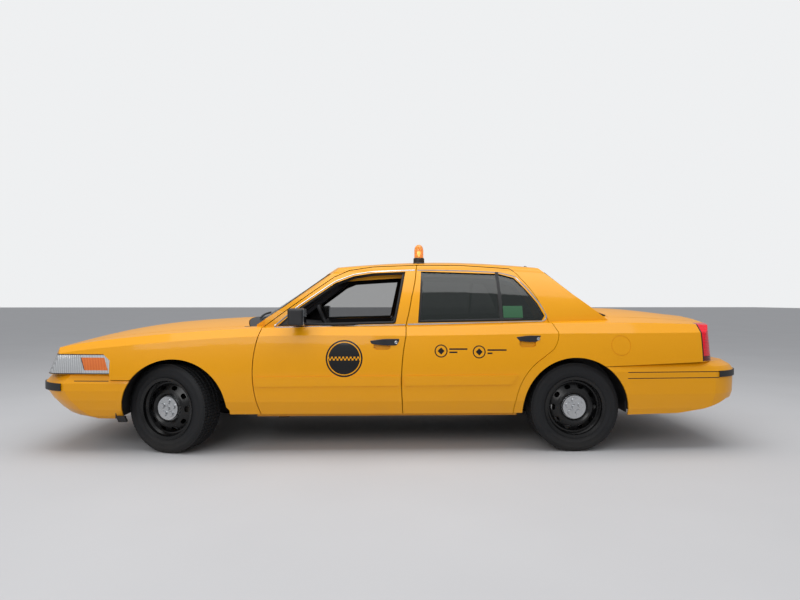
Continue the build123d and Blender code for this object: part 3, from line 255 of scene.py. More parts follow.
DISC = (-0.381, 0.7206, 0.138)
DISC_RING = (0.118, 0.126)
CHECK = 0.014
ROUNDELS = [(0.347, 0.775, 0.049), (0.635, 0.7675, 0.049)]
BARS = [(0.409, 0.546, 0.789), (0.409, 0.470, 0.765), (0.698, 0.843, 0.781), (0.698, 0.735, 0.757)]
BAR_HALF = 0.006
RING_SHARE, DIAMOND_SHARE = 0.82, 0.55


def radius_from(made, centre_x, centre_z):
    """How far a place is from a mark's centre, seen from the side."""
    x, y, z = made.place.parts()
    return ((x - centre_x) * (x - centre_x) + (z - centre_z) * (z - centre_z)).math("SQRT")


def front_marks(made):
    """The front door's disc, with a band of checks inside a thin ring."""
    x, y, z = made.place.parts()
    r = radius_from(made, *DISC[:2])
    rows = ((z - DISC[1]) * (1 / CHECK)).math("FLOOR")
    columns = ((x - DISC[0]) * (1 / CHECK)).math("FLOOR")
    checks = ((rows + columns) * 0.5).math("FRACT") > 0.25
    band = z.near(DISC[1], CHECK) * (r < DISC_RING[0]) * checks
    ring = (r > DISC_RING[0]) * (r < DISC_RING[1])
    return (r < DISC[2]) * (1.0 - (band | ring))


def rear_marks(made):
    """The rear door's roundels and bars."""
    x, y, z = made.place.parts()
    found = None
    for centre_x, centre_z, reach in ROUNDELS:
        r = radius_from(made, centre_x, centre_z)
        diamond = ((x - centre_x).size() + (z - centre_z).size()) < reach * DIAMOND_SHARE
        mark = (r < reach) * (1.0 - (r < reach * RING_SHARE)) | diamond
        found = mark if found is None else found | mark
    for start, end, height in BARS:
        found = found | x.span(start, end) * z.near(height, BAR_HALF)
    return found


give(enamel("yellow_front_doors", front_marks, inward), "door_front_left", "door_front_right")
give(enamel("yellow_rear_doors", rear_marks, inward), "door_rear_left", "door_rear_right")

# Black mouldings: grille, rub strips, cowl, wheel housings, dashboard and steering wheel, in
# grained plastic, clipped or screwed on.

black_plastic = surface("black_plastic", rgb(24, 24, 26), rgb(38, 38, 41), (0.42, 0.6),
                        mottle=9.0, grain=(1400.0, 0.0002), dust=0.2)
give(black_plastic, "rub_strips", "grille", "cowl_panel", "mirror_left", "mirror_right",
     "wheelhouses")
soft_plastic = surface("soft_plastic", rgb(46, 46, 50), rgb(60, 60, 64), (0.5, 0.7), mottle=6.0,
                       grain=(900.0, 0.0004))
give(soft_plastic, "dashboard", "steering_wheel")

# Window surrounds. A bright trim of rolled steel is clipped round each door's window, and a
# black rubber seal runs inside the opening. A black bar divides the rear door's window.

SIDES = (("left", 1), ("right", -1))
TRIM_FRONT = [(0.080, 0.9685), (-0.60, 0.9555), (-0.905, 0.950), (-0.925, 0.9545), (-0.745, 1.108),
              (-0.468, 1.304), (-0.322, 1.361), (-0.171, 1.385), (0.0, 1.392), (0.165, 1.3965)]
TRIM_REAR = [(0.186, 1.3965), (0.35, 1.3965), (0.60, 1.391), (0.842, 1.379), (0.968, 1.346),
             (1.048, 1.253), (1.134, 1.133), (1.184, 1.035), (1.168, 1.000), (1.140, 0.9925),
             (0.60, 0.982), (0.100, 0.972)]
OPENING_FRONT = [(-0.900, 0.958), (-0.742, 1.096), (-0.466, 1.293), (-0.321, 1.350),
                 (-0.171, 1.374), (0.090, 1.386), (0.006, 0.976)]
OPENING_REAR = [(0.178, 0.984), (0.215, 1.388), (0.842, 1.369), (0.958, 1.336), (1.034, 1.246),
                (1.118, 1.131), (1.166, 1.035), (1.142, 1.000)]
STEP = 0.035
TRIM_R, TRIM_SUNK = 0.007, 0.003
SEAL_R, SEAL_IN, SEAL_SUNK = 0.011, 0.010, 0.016
DIVISION = ((0.812, 0.838), (0.980, 1.385))
DIVISION_PROUD, DIVISION_DEEP = 0.003, 0.009

bright_steel = surface("bright_steel", rgb(176, 178, 180), rgb(208, 209, 210), (0.14, 0.24),
                       mottle=9.0, dust=0.2, Metallic=1.0)
seal_rubber = surface("seal_rubber", rgb(16, 16, 17), rgb(26, 26, 28), (0.55, 0.75), mottle=12.0,
                      grain=(700.0, 0.0002))


def skin(x, z, nodes):
    """How far out the left side's skin lies at a place, or None beside it."""
    hits = [car[node].ray_cast(Vector((x, -2, z)), Vector((0, 1, 0))) for node in nodes]
    found = [hit[1].y for hit in hits if hit[0]]
    return min(found) if found else None


def densify(path, closed=False):
    """The path with points at most STEP apart."""
    ends = path[1:] + path[:1] if closed else path[1:]
    dense = []
    for (x0, z0), (x1, z1) in zip(path, ends):
        count = max(1, round(((x1 - x0) ** 2 + (z1 - z0) ** 2) ** 0.5 / STEP))
        dense += [(x0 + (x1 - x0) * i / count, z0 + (z1 - z0) * i / count) for i in range(count)]
    return dense if closed else dense + [path[-1]]


def laid(path, nodes, sunk, outward=0.0):
    """Points of a path on the skin, sunk into it. Where a place has no skin, it is read a
    little further out, or taken from the last place that had one."""
    mid = Vector((sum(p[0] for p in path), sum(p[1] for p in path))) / len(path)
    points, last = [], None
    for x, z in path:
        away = (Vector((x, z)) - mid).normalized() * outward
        reach = skin(x + away.x, z + away.y, nodes)
        last = reach if reach is not None else last
        points.append((x, last, z))
    first = next(y for x, y, z in points if y is not None)
    return [(x, (first if y is None else y) + sunk, z) for x, y, z in points]


def alone(piece):
    bpy.ops.object.select_all(action="DESELECT")
    piece.select_set(True)
    bpy.context.view_layer.objects.active = piece
    return piece


def tube(points, radius, closed=False):
    """A round strip along points."""
    line = bpy.data.curves.new("strip", "CURVE")
    line.dimensions = "3D"
    spline = line.splines.new("NURBS")
    spline.points.add(len(points) - 1)
    for point, place in zip(spline.points, points):
        point.co = (*place, 1.0)
    spline.use_cyclic_u = closed
    spline.use_endpoint_u = not closed
    spline.order_u = 3
    spline.resolution_u = 2
    line.bevel_depth = radius
    line.bevel_resolution = 2
    line.use_fill_caps = True
    strip = bpy.data.objects.new("strip", line)
    bpy.context.scene.collection.objects.link(strip)
    alone(strip)
    bpy.ops.object.convert(target="MESH")
    return bpy.context.active_object


def dress(piece, name, material, body, smooth=35):
    """Name a finished piece, give it its material, and fix it to its body."""
    piece.name = piece.data.name = name
    piece.data.materials.clear()
    piece.data.materials.append(material)
    alone(piece)
    bpy.ops.object.shade_smooth_by_angle(angle=radians(smooth))
    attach(piece, body)
    return piece


def mirrored(points, turn):
    return [(x, y * turn, z) for x, y, z in points]


def shrunk(loop, distance):
    """A loop moved inward by distance, corner by corner."""
    mid = Vector((sum(p[0] for p in loop), sum(p[1] for p in loop))) / len(loop)
    inside = []
    for before, here, after in zip(loop[-1:] + loop[:-1], loop, loop[1:] + loop[:1]):
        one = (Vector(here) - Vector(before)).normalized()
        two = (Vector(after) - Vector(here)).normalized()
        normals = [Vector((-d.y, d.x)) for d in (one, two)]
        normals = [n if n.dot(mid - Vector(here)) > 0 else -n for n in normals]
        bisector = (normals[0] + normals[1]).normalized()
        stretch = distance / max(0.5, bisector.dot(normals[0]))
        inside.append(tuple(Vector(here) + bisector * stretch))
    return inside


for end, trim, opening in (("front", TRIM_FRONT, OPENING_FRONT), ("rear", TRIM_REAR, OPENING_REAR)):
    nodes = [f"door_{end}_left", "body_side_left"]
    bright = laid(densify(trim), nodes, TRIM_SUNK)
    soft = laid(densify(shrunk(opening, SEAL_IN), True), nodes, SEAL_SUNK, SEAL_IN + 0.016)
    for side, turn in SIDES:
        dress(tube(mirrored(bright, turn), TRIM_R), f"window_trim_{end}_{side}", bright_steel,
              f"door_{end}_{side}")
        dress(tube(mirrored(soft, turn), SEAL_R, True), f"window_seal_{end}_{side}", seal_rubber,
              f"door_{end}_{side}")


def start_cube(low, high):
    """A block between two corners, to be shaped in edit mode."""
    bpy.ops.object.select_all(action="DESELECT")
    bpy.ops.mesh.primitive_cube_add(size=1.0, location=[(a + b) / 2 for a, b in zip(low, high)])
    block = bpy.context.active_object
    block.scale = [b - a for a, b in zip(low, high)]
    bpy.ops.object.transform_apply(location=True, rotation=True, scale=True)
    return block


def modify(piece, kind, **settings):
    """Add a modifier to a piece and apply it."""
    alone(piece)
    modifier = piece.modifiers.new(kind.lower(), kind)
    for key, value in settings.items():
        setattr(modifier, key, value)
    bpy.ops.object.modifier_apply(modifier=modifier.name)
    return piece


def split(piece, cuts):
    """Divide every edge of a piece in edit mode."""
    alone(piece)
    bpy.ops.object.mode_set(mode="EDIT")
    bpy.ops.mesh.select_all(action="SELECT")
    bpy.ops.mesh.subdivide(number_cuts=cuts)
    bpy.ops.object.mode_set(mode="OBJECT")
    return piece


def flipped(piece):
    """A copy of a piece on the car's other side, with its own mesh."""
    other = piece.copy()
    other.data = piece.data.copy()
    bpy.context.scene.collection.objects.link(other)
    alone(other)
    other.scale.y = -1
    bpy.ops.object.transform_apply(location=False, rotation=False, scale=True)
    bpy.ops.object.mode_set(mode="EDIT")
    bpy.ops.mesh.select_all(action="SELECT")
    bpy.ops.mesh.normals_make_consistent(inside=False)
    bpy.ops.object.mode_set(mode="OBJECT")
    return other


def both(piece, name, material, body, smooth=35):
    """Dress a left piece and its mirror copy. name and body take the side's name."""
    for side, half in zip(("left", "right"), (piece, flipped(piece))):
        dress(half, name.format(side), material, body.format(side), smooth)


(bar_start, bar_end), (bar_low, bar_top) = DIVISION
bar_x = (bar_start + bar_end) / 2
division = split(start_cube((bar_start, -DIVISION_PROUD, bar_low),
                            (bar_end, DIVISION_DEEP, bar_top)), 9)
for vertex in division.data.vertices:
    height = min(max(vertex.co.z, bar_low + 0.01), bar_top - 0.02)
    vertex.co.y += skin(bar_x, height, ["door_rear_left"])
modify(division, "BEVEL", width=0.003, segments=2, limit_method="ANGLE")
both(division, "window_division_{}", seal_rubber, "door_rear_{}")

# Door handles. Pull bars of dark plastic, with a tapered front end and a raised lock at the rear,
# bolted over the cups that are pressed in the doors.

HANDLES = {"front": ((-0.187, 0.031), (0.817, 0.866)), "rear": ((0.910, 1.111), (0.841, 0.889))}
HANDLE_REACH, HANDLE_BACK = 0.020, 0.010
FRONT_SLIM = 0.45
LOCK_R, LOCK_DEPTH, LOCK_FROM_END = 0.013, 0.012, 0.024

handle_plastic = surface("handle_plastic", rgb(26, 28, 34), rgb(38, 41, 49), (0.25, 0.4),
                         mottle=14.0, grain=(1200.0, 0.0001), dust=0.1, Coat_Weight=0.3)


def select_faces(piece, wanted):
    """Select faces by a test of their centre and normal, and leave the piece in edit mode."""
    alone(piece)
    bpy.ops.object.mode_set(mode="EDIT")
    bpy.ops.mesh.select_mode(type="FACE")
    bpy.ops.mesh.select_all(action="DESELECT")
    bpy.ops.object.mode_set(mode="OBJECT")
    for face in piece.data.polygons:
        face.select = wanted(face.center, face.normal)
    bpy.ops.object.mode_set(mode="EDIT")


for end, ((start, stop), (low, top)) in HANDLES.items():
    mid_z = (low + top) / 2
    nodes = [f"door_{end}_left"]
    handle = split(start_cube((start, -HANDLE_REACH, low), (stop, HANDLE_BACK, top)), 5)
    ends_y = [laid([(x, top + 0.02)], nodes, 0.0)[0][1] for x in (start, stop)]
    for vertex in handle.data.vertices:
        along = (vertex.co.x - start) / (stop - start)
        slim = FRONT_SLIM + (1 - FRONT_SLIM) * min(1.0, along * 2.2)
        vertex.co.z = mid_z + (vertex.co.z - mid_z) * slim
        bow = 1 - (2 * along - 1) ** 4
        vertex.co.y = vertex.co.y * (0.4 + 0.6 * bow) + ends_y[0] + (ends_y[1] - ends_y[0]) * along
    modify(handle, "BEVEL", width=0.006, segments=3, limit_method="ANGLE")
    modify(handle, "SUBSURF", levels=1, render_levels=1)
    both(handle, f"handle_{end}_{{}}", handle_plastic, f"door_{end}_{{}}", 60)
    bpy.ops.object.select_all(action="DESELECT")
    lock_place = (stop - LOCK_FROM_END, ends_y[1] - HANDLE_REACH * 0.75, mid_z)
    bpy.ops.mesh.primitive_cylinder_add(vertices=28, radius=LOCK_R, depth=LOCK_DEPTH,
                                        location=lock_place, rotation=(radians(90), 0, 0))
    lock = bpy.context.active_object
    bpy.ops.object.transform_apply(location=True, rotation=True, scale=True)
    select_faces(lock, lambda centre, normal: normal.y < -0.9)
    bpy.ops.mesh.inset(thickness=0.004, depth=-0.0015)
    bpy.ops.mesh.inset(thickness=0.005, depth=0.002)
    bpy.ops.object.mode_set(mode="OBJECT")
    modify(lock, "BEVEL", width=0.001, segments=2, limit_method="ANGLE")
    both(lock, f"handle_lock_{end}_{{}}", bright_steel, f"door_{end}_{{}}")

# Door mirrors. A flat silvered glass with a bevelled edge is glued in each plastic housing, on
# its rear face.

MIRROR_GLASS = ((-0.670, -1.124, 0.974), (-0.666, -0.966, 1.094))
mirror_glass = surface("mirror_glass", rgb(150, 158, 164), rgb(176, 184, 190), (0.03, 0.07),
                       mottle=10.0, Metallic=1.0)
glass = start_cube(*MIRROR_GLASS)
select_faces(glass, lambda centre, normal: normal.x > 0.9)
bpy.ops.mesh.inset(thickness=0.006, depth=0.0015)
bpy.ops.object.mode_set(mode="OBJECT")
modify(glass, "BEVEL", width=0.012, segments=4, limit_method="ANGLE")
both(glass, "mirror_glass_{}", mirror_glass, "door_front_{}")

# Glass. The windscreen and rear window are bonded, with a black printed band at their side
# edges. The rear doors have dark tinted panes. The left front pane is wound down.

GLASS_ENDS = ((-1.40, -0.35), (1.05, 1.95))
GLASS_Z = (0.90, 1.42)
BAND_WIDTH, BAND_BLACK = 0.036, rgb(14, 14, 15)
STICKER, STICKER_GREEN = ((0.843, 0.996), (1.022, 1.113)), rgb(40, 92, 58)


def glass_edge(z, x_low, x_high):
    """Half the width of the bonded glass at a height, from its own vertices."""
    reach = [abs(v.co.y) for v in car["glass_fixed"].data.vertices
             if abs(v.co.z - z) < 0.05 and x_low < v.co.x < x_high]
    return max(reach) if reach else None


def glazing(name, tint, alpha, printed=None):
    """Glass with a faint haze. printed gives a mask of opaque ink or film, and its colour."""
    made = Finish(name, IOR=1.5, Coat_Weight=0.3)
    haze = made.place.noise(5.0, 5.0)
    color = haze.mix(tint, [c * 1.3 for c in tint[:3]] + [1])
    rough, see = haze * 0.04 + 0.01, alpha
    if printed:
        mask, ink = printed(made)
        color = mask.mix(color, ink)
        rough = rough + mask * 0.3
        see = (mask * (1 - alpha) + alpha).clamp()
    made.set("Base Color", color)
    made.set("Roughness", rough)
    made.set("Alpha", see)
    return made.material


def edge_band(made):
    """The black print along the side edges of the windscreen and the rear window."""
    x, y, z = made.place.parts()
    mask = None
    for x_low, x_high in GLASS_ENDS:
        heights = [GLASS_Z[0] + (GLASS_Z[1] - GLASS_Z[0]) * i / 20 for i in range(21)]
        known = [(h, glass_edge(h, x_low, x_high)) for h in heights]
        known = [(h, e) for h, e in known if e]
        (h0, e0), (h1, e1) = known[1], known[-2]
        slope = (e1 - e0) / (h1 - h0)
        edge = z * slope + (e0 - slope * h0 - BAND_WIDTH)
        band = ((y.size() - edge) > 0.0) * x.span(x_low, x_high)
        mask = band if mask is None else mask | band
    return mask, BAND_BLACK


def sticker(made):
    """A bare green film on the left rear quarter glass."""
    x, y, z = made.place.parts()
    return x.span(*STICKER[0]) * z.span(*STICKER[1]) * (y < 0.0), STICKER_GREEN


give(glazing("clear_glass", rgb(38, 48, 46), 0.34, edge_band), "glass_fixed")
give(glazing("side_glass", rgb(34, 44, 42), 0.4), "glass_front_right")
give(glazing("tinted_glass", rgb(16, 24, 21), 0.7, sticker), "glass_rear_left",
     "glass_rear_right")

# Edge mouldings. Black rubber strips are pressed over the joints between the bonded glass and
# the pillars, along the pillars' corners.

MOULDING_R, MOULDING_SUNK, MOULDING_PROUD = 0.009, 0.004, 0.002
MOULDINGS = (("windscreen", -1.30, 0.003, range(1020, 1376, 25)),
             ("rear_window", 1.75, -0.003, range(1030, 1386, 25)))
PILLAR_Y = -0.4


def pillar_corner(x, step, z):
    """The first place where the left pillar is met, looking along the car at a height."""
    while abs(x) < 2 and (skin(x, z, ["body_side_left"]) or 0) > PILLAR_Y:
        x += step
    return Vector((x, skin(x, z, ["body_side_left"]) or -0.6, z))


for part, x_from, step, heights in MOULDINGS:
    rows = [pillar_corner(x_from, step, height / 1000) for height in heights]
    inside = MOULDING_SUNK if step > 0 else -MOULDING_SUNK
    strip = tube([(p.x + inside, p.y - MOULDING_PROUD, p.z) for p in rows], MOULDING_R)
    both(strip, part + "_moulding_{}", seal_rubber, "car")

# Wipers. Two painted steel arms with rubber blades lie parked on the foot of the windscreen, on
# spindles under the cowl.

WIPERS = [(-0.46, 0.10), (0.16, 0.66)]
WIPER_R, BLADE_R = 0.006, 0.004
WIPER_POINTS = 9
SCREEN_FOOT = [z / 1000 for z in range(940, 1100, 4)]


def screen_point(y, z):
    """The windscreen's outer face at a height and distance from the middle."""
    hit = car["glass_fixed"].ray_cast(Vector((-3, y, z)), Vector((1, 0, 0)))
    return hit[1] if hit[0] and hit[1].x < 0 else None


for number, (y_from, y_to) in enumerate(WIPERS):
    rows = []
    for i in range(WIPER_POINTS):
        along = i / (WIPER_POINTS - 1)
        y = y_from + (y_to - y_from) * along
        spot = next((p for p in (screen_point(y, z) for z in SCREEN_FOOT) if p), None)
        if spot:
            rows.append((spot.x - 0.010 + 0.012 * along, y, spot.z + 0.014 + 0.022 * along))
    dress(tube(rows, WIPER_R), f"wiper_arm_{number + 1}", black_plastic, "car")
    dress(tube([(x + 0.002, y, z - 0.008) for x, y, z in rows[1:]], BLADE_R),
          f"wiper_blade_{number + 1}", seal_rubber, "car")

# Headlamps. One-piece clear lenses moulded over a silver reflector, with an amber turn signal
# in their rear half inside a toothed strip, and fluting in front. The rim is black.

LAMP_TURN = ((-2.330, -2.139), (0.634, 0.728))
LAMP_SLANT = 0.35
LAMP_RIM = (0.612, 0.746)
FLUTE, TOOTH = 420.0, 520.0

lamp = Finish("headlamp_lens", Coat_Weight=0.8, Coat_Roughness=0.03, Specular_IOR_Level=0.6)
x, y, z = lamp.place.parts()
around = y.size() * 0.9 + x.size()
shifted = x + (z - LAMP_TURN[1][0]) * LAMP_SLANT
amber = shifted.span(LAMP_TURN[0][0] + 0.012, LAMP_TURN[0][1]) * z.span(*LAMP_TURN[1])
amber_edge = shifted.near(LAMP_TURN[0][0] + 0.010, 0.003) * z.span(*LAMP_TURN[1])
rim = (z < LAMP_RIM[0]) | (z > LAMP_RIM[1]) | amber_edge
flutes = (around * FLUTE).math("SINE")
teeth = (x * TOOTH).math("SINE")
strip = (x > LAMP_TURN[0][0]) * (1.0 - amber)
# Painted highlights: flutes, teeth and amber turn light and dark with the waves of their bumps.
clear = (flutes * 0.5 + 0.5).mix(rgb(176, 178, 180), rgb(214, 216, 218))
teeth_with_painted_highlights = (teeth * 0.5 + 0.5).mix(rgb(178, 182, 186), rgb(232, 234, 236))
amber_with_painted_highlights = (teeth * 0.5 + 0.5).mix(rgb(208, 96, 34), rgb(236, 128, 56))
color = rim.mix(amber.mix(strip.mix(clear, teeth_with_painted_highlights), amber_with_painted_highlights), rgb(24, 24, 26))
lamp.set("Base Color", color)
lamp.set("Metallic", (1.0 - (amber | rim)) * 0.35)
lamp.set("Roughness", rim * 0.4 + 0.1)
lamp.set("Normal", (flutes * (1.0 - strip) + teeth * strip).bump(0.0004))
give(lamp.material, "headlamps")

# Tail lamps. Red plastic lenses over a darker lower part, moulded in bands and bolted through
# the panel, with a black seal in front.

TAIL_FRONT, TAIL_DARK_TOP, TAIL_BANDS = 2.372, 0.729, 520.0
tail = Finish("tail_lens", Coat_Weight=0.25, Specular_IOR_Level=0.3)
x, y, z = tail.place.parts()
bands = (z * TAIL_BANDS).math("SINE")
red = (bands * 0.5 + 0.5).mix(rgb(222, 8, 34), rgb(244, 20, 48))
red = (z < TAIL_DARK_TOP).mix(red, rgb(96, 10, 20))
tail.set("Base Color", (x < TAIL_FRONT).mix(red, rgb(20, 20, 22)))
tail.set("Roughness", bands * 0.03 + 0.12)
tail.set("Normal", bands.bump(0.0006))
give(tail.material, "tail_lamps")

# Front intake and fixings. Woven wire fills the bumper's lower opening, and a rubber flap hangs
# under each end of the bumper, held by a clip.

INTAKE_HALF, INTAKE_Z, INTAKE_X = 0.530, (0.292, 0.408), -2.600
MESH_CELLS, WIRE = (64, 8), 0.005
FLAP = ((-2.095, -0.915, 0.240), (-2.030, -0.885, 0.285))

wire = surface("black_wire", rgb(16, 16, 17), rgb(30, 30, 32), (0.4, 0.6), mottle=30.0, dust=0.3)
bpy.ops.object.select_all(action="DESELECT")
bpy.ops.mesh.primitive_grid_add(x_subdivisions=MESH_CELLS[1], y_subdivisions=MESH_CELLS[0],
                                size=1.0, rotation=(0, radians(90), 0),
                                location=(INTAKE_X, 0, sum(INTAKE_Z) / 2))
intake = bpy.context.active_object
intake.scale = (INTAKE_Z[1] - INTAKE_Z[0], INTAKE_HALF * 2, 1)
bpy.ops.object.transform_apply(location=True, rotation=True, scale=True)
modify(intake, "WIREFRAME", thickness=WIRE)
dress(intake, "intake_mesh", wire, "car")

flap = split(start_cube(*FLAP), 2)
for vertex in flap.data.vertices:
    if vertex.co.z < FLAP[1][2] - 0.02:
        vertex.co.x += (FLAP[1][2] - vertex.co.z) * 0.3
modify(flap, "BEVEL", width=0.004, segments=2, limit_method="ANGLE")
both(flap, "bumper_flap_{}", seal_rubber, "car")

# Splash shields. Black plastic sheets with a pressed ridge close the wheel housings' lower ends
# against the bumpers, clipped to both.

SHIELDS = {"front": ((-2.112, -0.890, 0.262), (-2.104, -0.560, 0.372)),
           "rear": ((1.786, -0.890, 0.290), (1.794, -0.600, 0.420))}
RIDGE = 0.006
for end, (low, high) in SHIELDS.items():
    shield = split(start_cube(low, high), 2)
    for vertex in shield.data.vertices:
        if abs((vertex.co.y - low[1]) / (high[1] - low[1]) - 0.5) < 0.2:
            vertex.co.x += RIDGE
    modify(shield, "BEVEL", width=0.002, segments=2, limit_method="ANGLE")
    both(shield, f"splash_shield_{end}_{{}}", black_plastic, "car")

# Rear plate. A blank plate of painted aluminium, pressed with a raised border, is held to the
# bumper by two screws.

PLATE = (0.305, 0.152)
PLATE_X, PLATE_Z, PLATE_THICK = 2.718, 0.479, 0.002
SCREW_PITCH, SCREW_R, SCREW_RISE = 0.178, 0.006, 0.058

plate_paint = surface("plate_paint", rgb(214, 214, 206), rgb(232, 232, 226), (0.3, 0.45),
                      mottle=12.0, grain=(400.0, 0.0001), dust=0.4)
plate = start_cube((PLATE_X, -PLATE[0] / 2, PLATE_Z - PLATE[1] / 2),
                   (PLATE_X + PLATE_THICK, PLATE[0] / 2, PLATE_Z + PLATE[1] / 2))
select_faces(plate, lambda centre, normal: normal.x > 0.9)
bpy.ops.mesh.inset(thickness=0.006, depth=0.0)
bpy.ops.mesh.inset(thickness=0.002, depth=0.0012)
bpy.ops.mesh.inset(thickness=0.003, depth=0.0)
bpy.ops.mesh.inset(thickness=0.002, depth=-0.0012)
bpy.ops.object.mode_set(mode="OBJECT")
dress(plate, "rear_plate", plate_paint, "car", 20)
for number, y in enumerate((-SCREW_PITCH / 2, SCREW_PITCH / 2)):
    bpy.ops.object.select_all(action="DESELECT")
    bpy.ops.mesh.primitive_cylinder_add(vertices=6, radius=SCREW_R, depth=0.004,
                                        rotation=(0, radians(90), 0),
                                        location=(PLATE_X + 0.004, y, PLATE_Z + SCREW_RISE))
    screw = bpy.context.active_object
    bpy.ops.object.transform_apply(location=True, rotation=True, scale=True)
    select_faces(screw, lambda centre, normal: normal.x > 0.9)
    bpy.ops.mesh.inset(thickness=0.0015, depth=-0.001)
    bpy.ops.object.mode_set(mode="OBJECT")
    dress(screw, f"plate_screw_{number + 1}", bright_steel, "car", 20)

# Roof beacon and pod. A ribbed amber plastic dome stands over a lit bulb, on a black base that is
# bolted to the roof, and a small black pod is screwed to the rear of the roof.

BULB_R, BULB_SHARE = 0.016, 0.56
POD, POD_SUNK = ((1.195, -0.035), (1.285, 0.035), 0.030), 0.002
DOME = [(0.0005, 1.0), (0.014, 0.985), (0.026, 0.93), (0.034, 0.84), (0.038, 0.70), (0.038, 0.30)]
BASE = [(0.044, 0.29), (0.046, 0.24), (0.046, 0.06), (0.052, 0.0)]
DOME_RIBS = 900.0


def lathe(profile, steps):
    """A closed ring from a section of (radius, y) points, spun about the Y axis."""
    bpy.ops.object.select_all(action="DESELECT")
    bpy.ops.mesh.primitive_circle_add(vertices=len(profile), radius=1.0)
    ring = bpy.context.active_object
    for vertex, (radius, y) in zip(ring.data.vertices, profile):
        vertex.co = (radius, y, 0)
    bpy.ops.object.mode_set(mode="EDIT")
    bpy.ops.mesh.select_all(action="SELECT")
    bpy.ops.mesh.spin(steps=steps, angle=2 * pi, center=(0, 0, 0), axis=(0, 1, 0))
    bpy.ops.mesh.select_all(action="SELECT")
    bpy.ops.mesh.remove_doubles(threshold=0.00005)
    bpy.ops.mesh.normals_make_consistent(inside=False)
    bpy.ops.object.mode_set(mode="OBJECT")
    return ring


def turned(profile, steps, centre, foot, height):
    """A round form about a standing axis, from (radius, share of height) points."""
    form = lathe([(r, -(foot + height * share)) for r, share in profile], steps)
    form.data.transform(Matrix.Translation((centre[0], centre[1], 0)) @
                        Matrix.Rotation(radians(-90), 4, "X"))
    return form


amber_dome = Finish("amber_dome", Coat_Weight=0.5, Roughness=0.14, IOR=1.45)
ribs = (amber_dome.place.parts()[2] * DOME_RIBS).math("SINE")
amber_dome.set("Base Color", (ribs * 0.5 + 0.5).mix(rgb(236, 140, 20), rgb(250, 170, 44)))
amber_dome.set("Alpha", 0.8)
amber_dome.set("Normal", ribs.bump(0.0004))

beacon_low, beacon_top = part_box("roof_beacon")
centre = [(a + b) / 2 for a, b in zip(beacon_low, beacon_top)]
stand, rise = beacon_low[2], beacon_top[2] - beacon_low[2]
dome = dress(turned(DOME + [(0.034, 0.30), (0.0005, 0.30)], 40, centre, stand, rise),
             "beacon_dome", amber_dome.material, "car", 40)
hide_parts("roof_beacon")
holder = dress(turned([(0.0005, 0.29)] + BASE + [(0.0005, 0.0)], 40, centre, stand, rise),
               "beacon_base", black_plastic, "car", 30)
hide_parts("roof_beacon")
bulb_z = stand + rise * BULB_SHARE
bulb_glow = Finish("bulb_glow", Roughness=0.3, Emission_Strength=4.0)
frost = bulb_glow.place.noise(60.0)
bulb_glow.set("Base Color", frost.mix(rgb(255, 210, 120), rgb(255, 228, 160)))
bulb_glow.set("Emission Color", frost.mix(rgb(255, 190, 90), rgb(255, 214, 130)))
bpy.ops.object.select_all(action="DESELECT")
bpy.ops.mesh.primitive_uv_sphere_add(segments=24, ring_count=14, radius=BULB_R,
                                     location=(centre[0], centre[1], bulb_z))
bulb = bpy.context.active_object
bpy.ops.object.transform_apply(location=True, rotation=True, scale=True)
for vertex in bulb.data.vertices:
    if vertex.co.z < bulb_z:
        vertex.co.z = bulb_z + (vertex.co.z - bulb_z) * 2.2
        pinch = 1 - 0.5 * min(1.0, (bulb_z - vertex.co.z) / (2 * BULB_R))
        vertex.co.x = centre[0] + (vertex.co.x - centre[0]) * pinch
        vertex.co.y = centre[1] + (vertex.co.y - centre[1]) * pinch
dress(bulb, "beacon_bulb", bulb_glow.material, "car", 80)


def roof_z(x, y):
    """The height of the car's top at a place."""
    hits = [car[node].ray_cast(Vector((x, y, 3)), Vector((0, 0, -1)))
            for node in ("roof_panel", "rear_deck", "glass_fixed")]
    return max(hit[1].z for hit in hits if hit[0])


(pod_x0, pod_y0), (pod_x1, pod_y1), pod_height = POD
pod = split(start_cube((pod_x0, pod_y0, 0), (pod_x1, pod_y1, pod_height)), 4)
for vertex in pod.data.vertices:
    along = (vertex.co.x - pod_x0) / (pod_x1 - pod_x0)
    narrow = 1 - 0.45 * vertex.co.z / pod_height
    fall = 1 - 0.7 * (2 * along - 1) ** 2
    vertex.co.y *= narrow
    vertex.co.z = vertex.co.z * fall + roof_z(vertex.co.x, vertex.co.y) - POD_SUNK
modify(pod, "BEVEL", width=0.003, segments=2, limit_method="ANGLE")
modify(pod, "SUBSURF", levels=1, render_levels=1)
dress(pod, "roof_pod", black_plastic, "car", 60)

# Tyres. Moulded rubber with ribbed sidewalls, four tread grooves, and blocks cut across the
# tread. One is modelled at the origin and copied to the four wheels.

TYRE_SECTION = [(0.2195, 0.098), (0.232, 0.1045), (0.246, 0.1085), (0.262, 0.1120),
                (0.264, 0.1130), (0.268, 0.1130), (0.270, 0.1125), (0.286, 0.1135),
                (0.300, 0.1125), (0.302, 0.1128), (0.306, 0.1122), (0.308, 0.1112),
                (0.320, 0.1075), (0.329, 0.1000)]
TREAD_BASE, TREAD_DEPTH, TREAD_GAP = 0.3295, 0.0082, 0.0022
TREAD_RIBS = [(0.0990, 0.0690), (0.0610, 0.0290), (0.0210, -0.0210)]
GROOVE_FLOOR, GROOVE_WALL, GROOVE_WIDTH = 0.3275, 0.001, 0.007
BORE = [(0.2195, 0.06), (0.2195, -0.06)]
TYRE_STEPS = 84
FRONT_TURN = radians(-19)
WHEELS = {"front_left": ((-1.69307, -0.80315, 0.338), FRONT_TURN),
          "front_right": ((-1.67093, 0.80315, 0.338), FRONT_TURN + pi),
          "rear_left": ((1.378, -0.833, 0.338), 0.0),
          "rear_right": ((1.378, 0.833, 0.338), pi)}

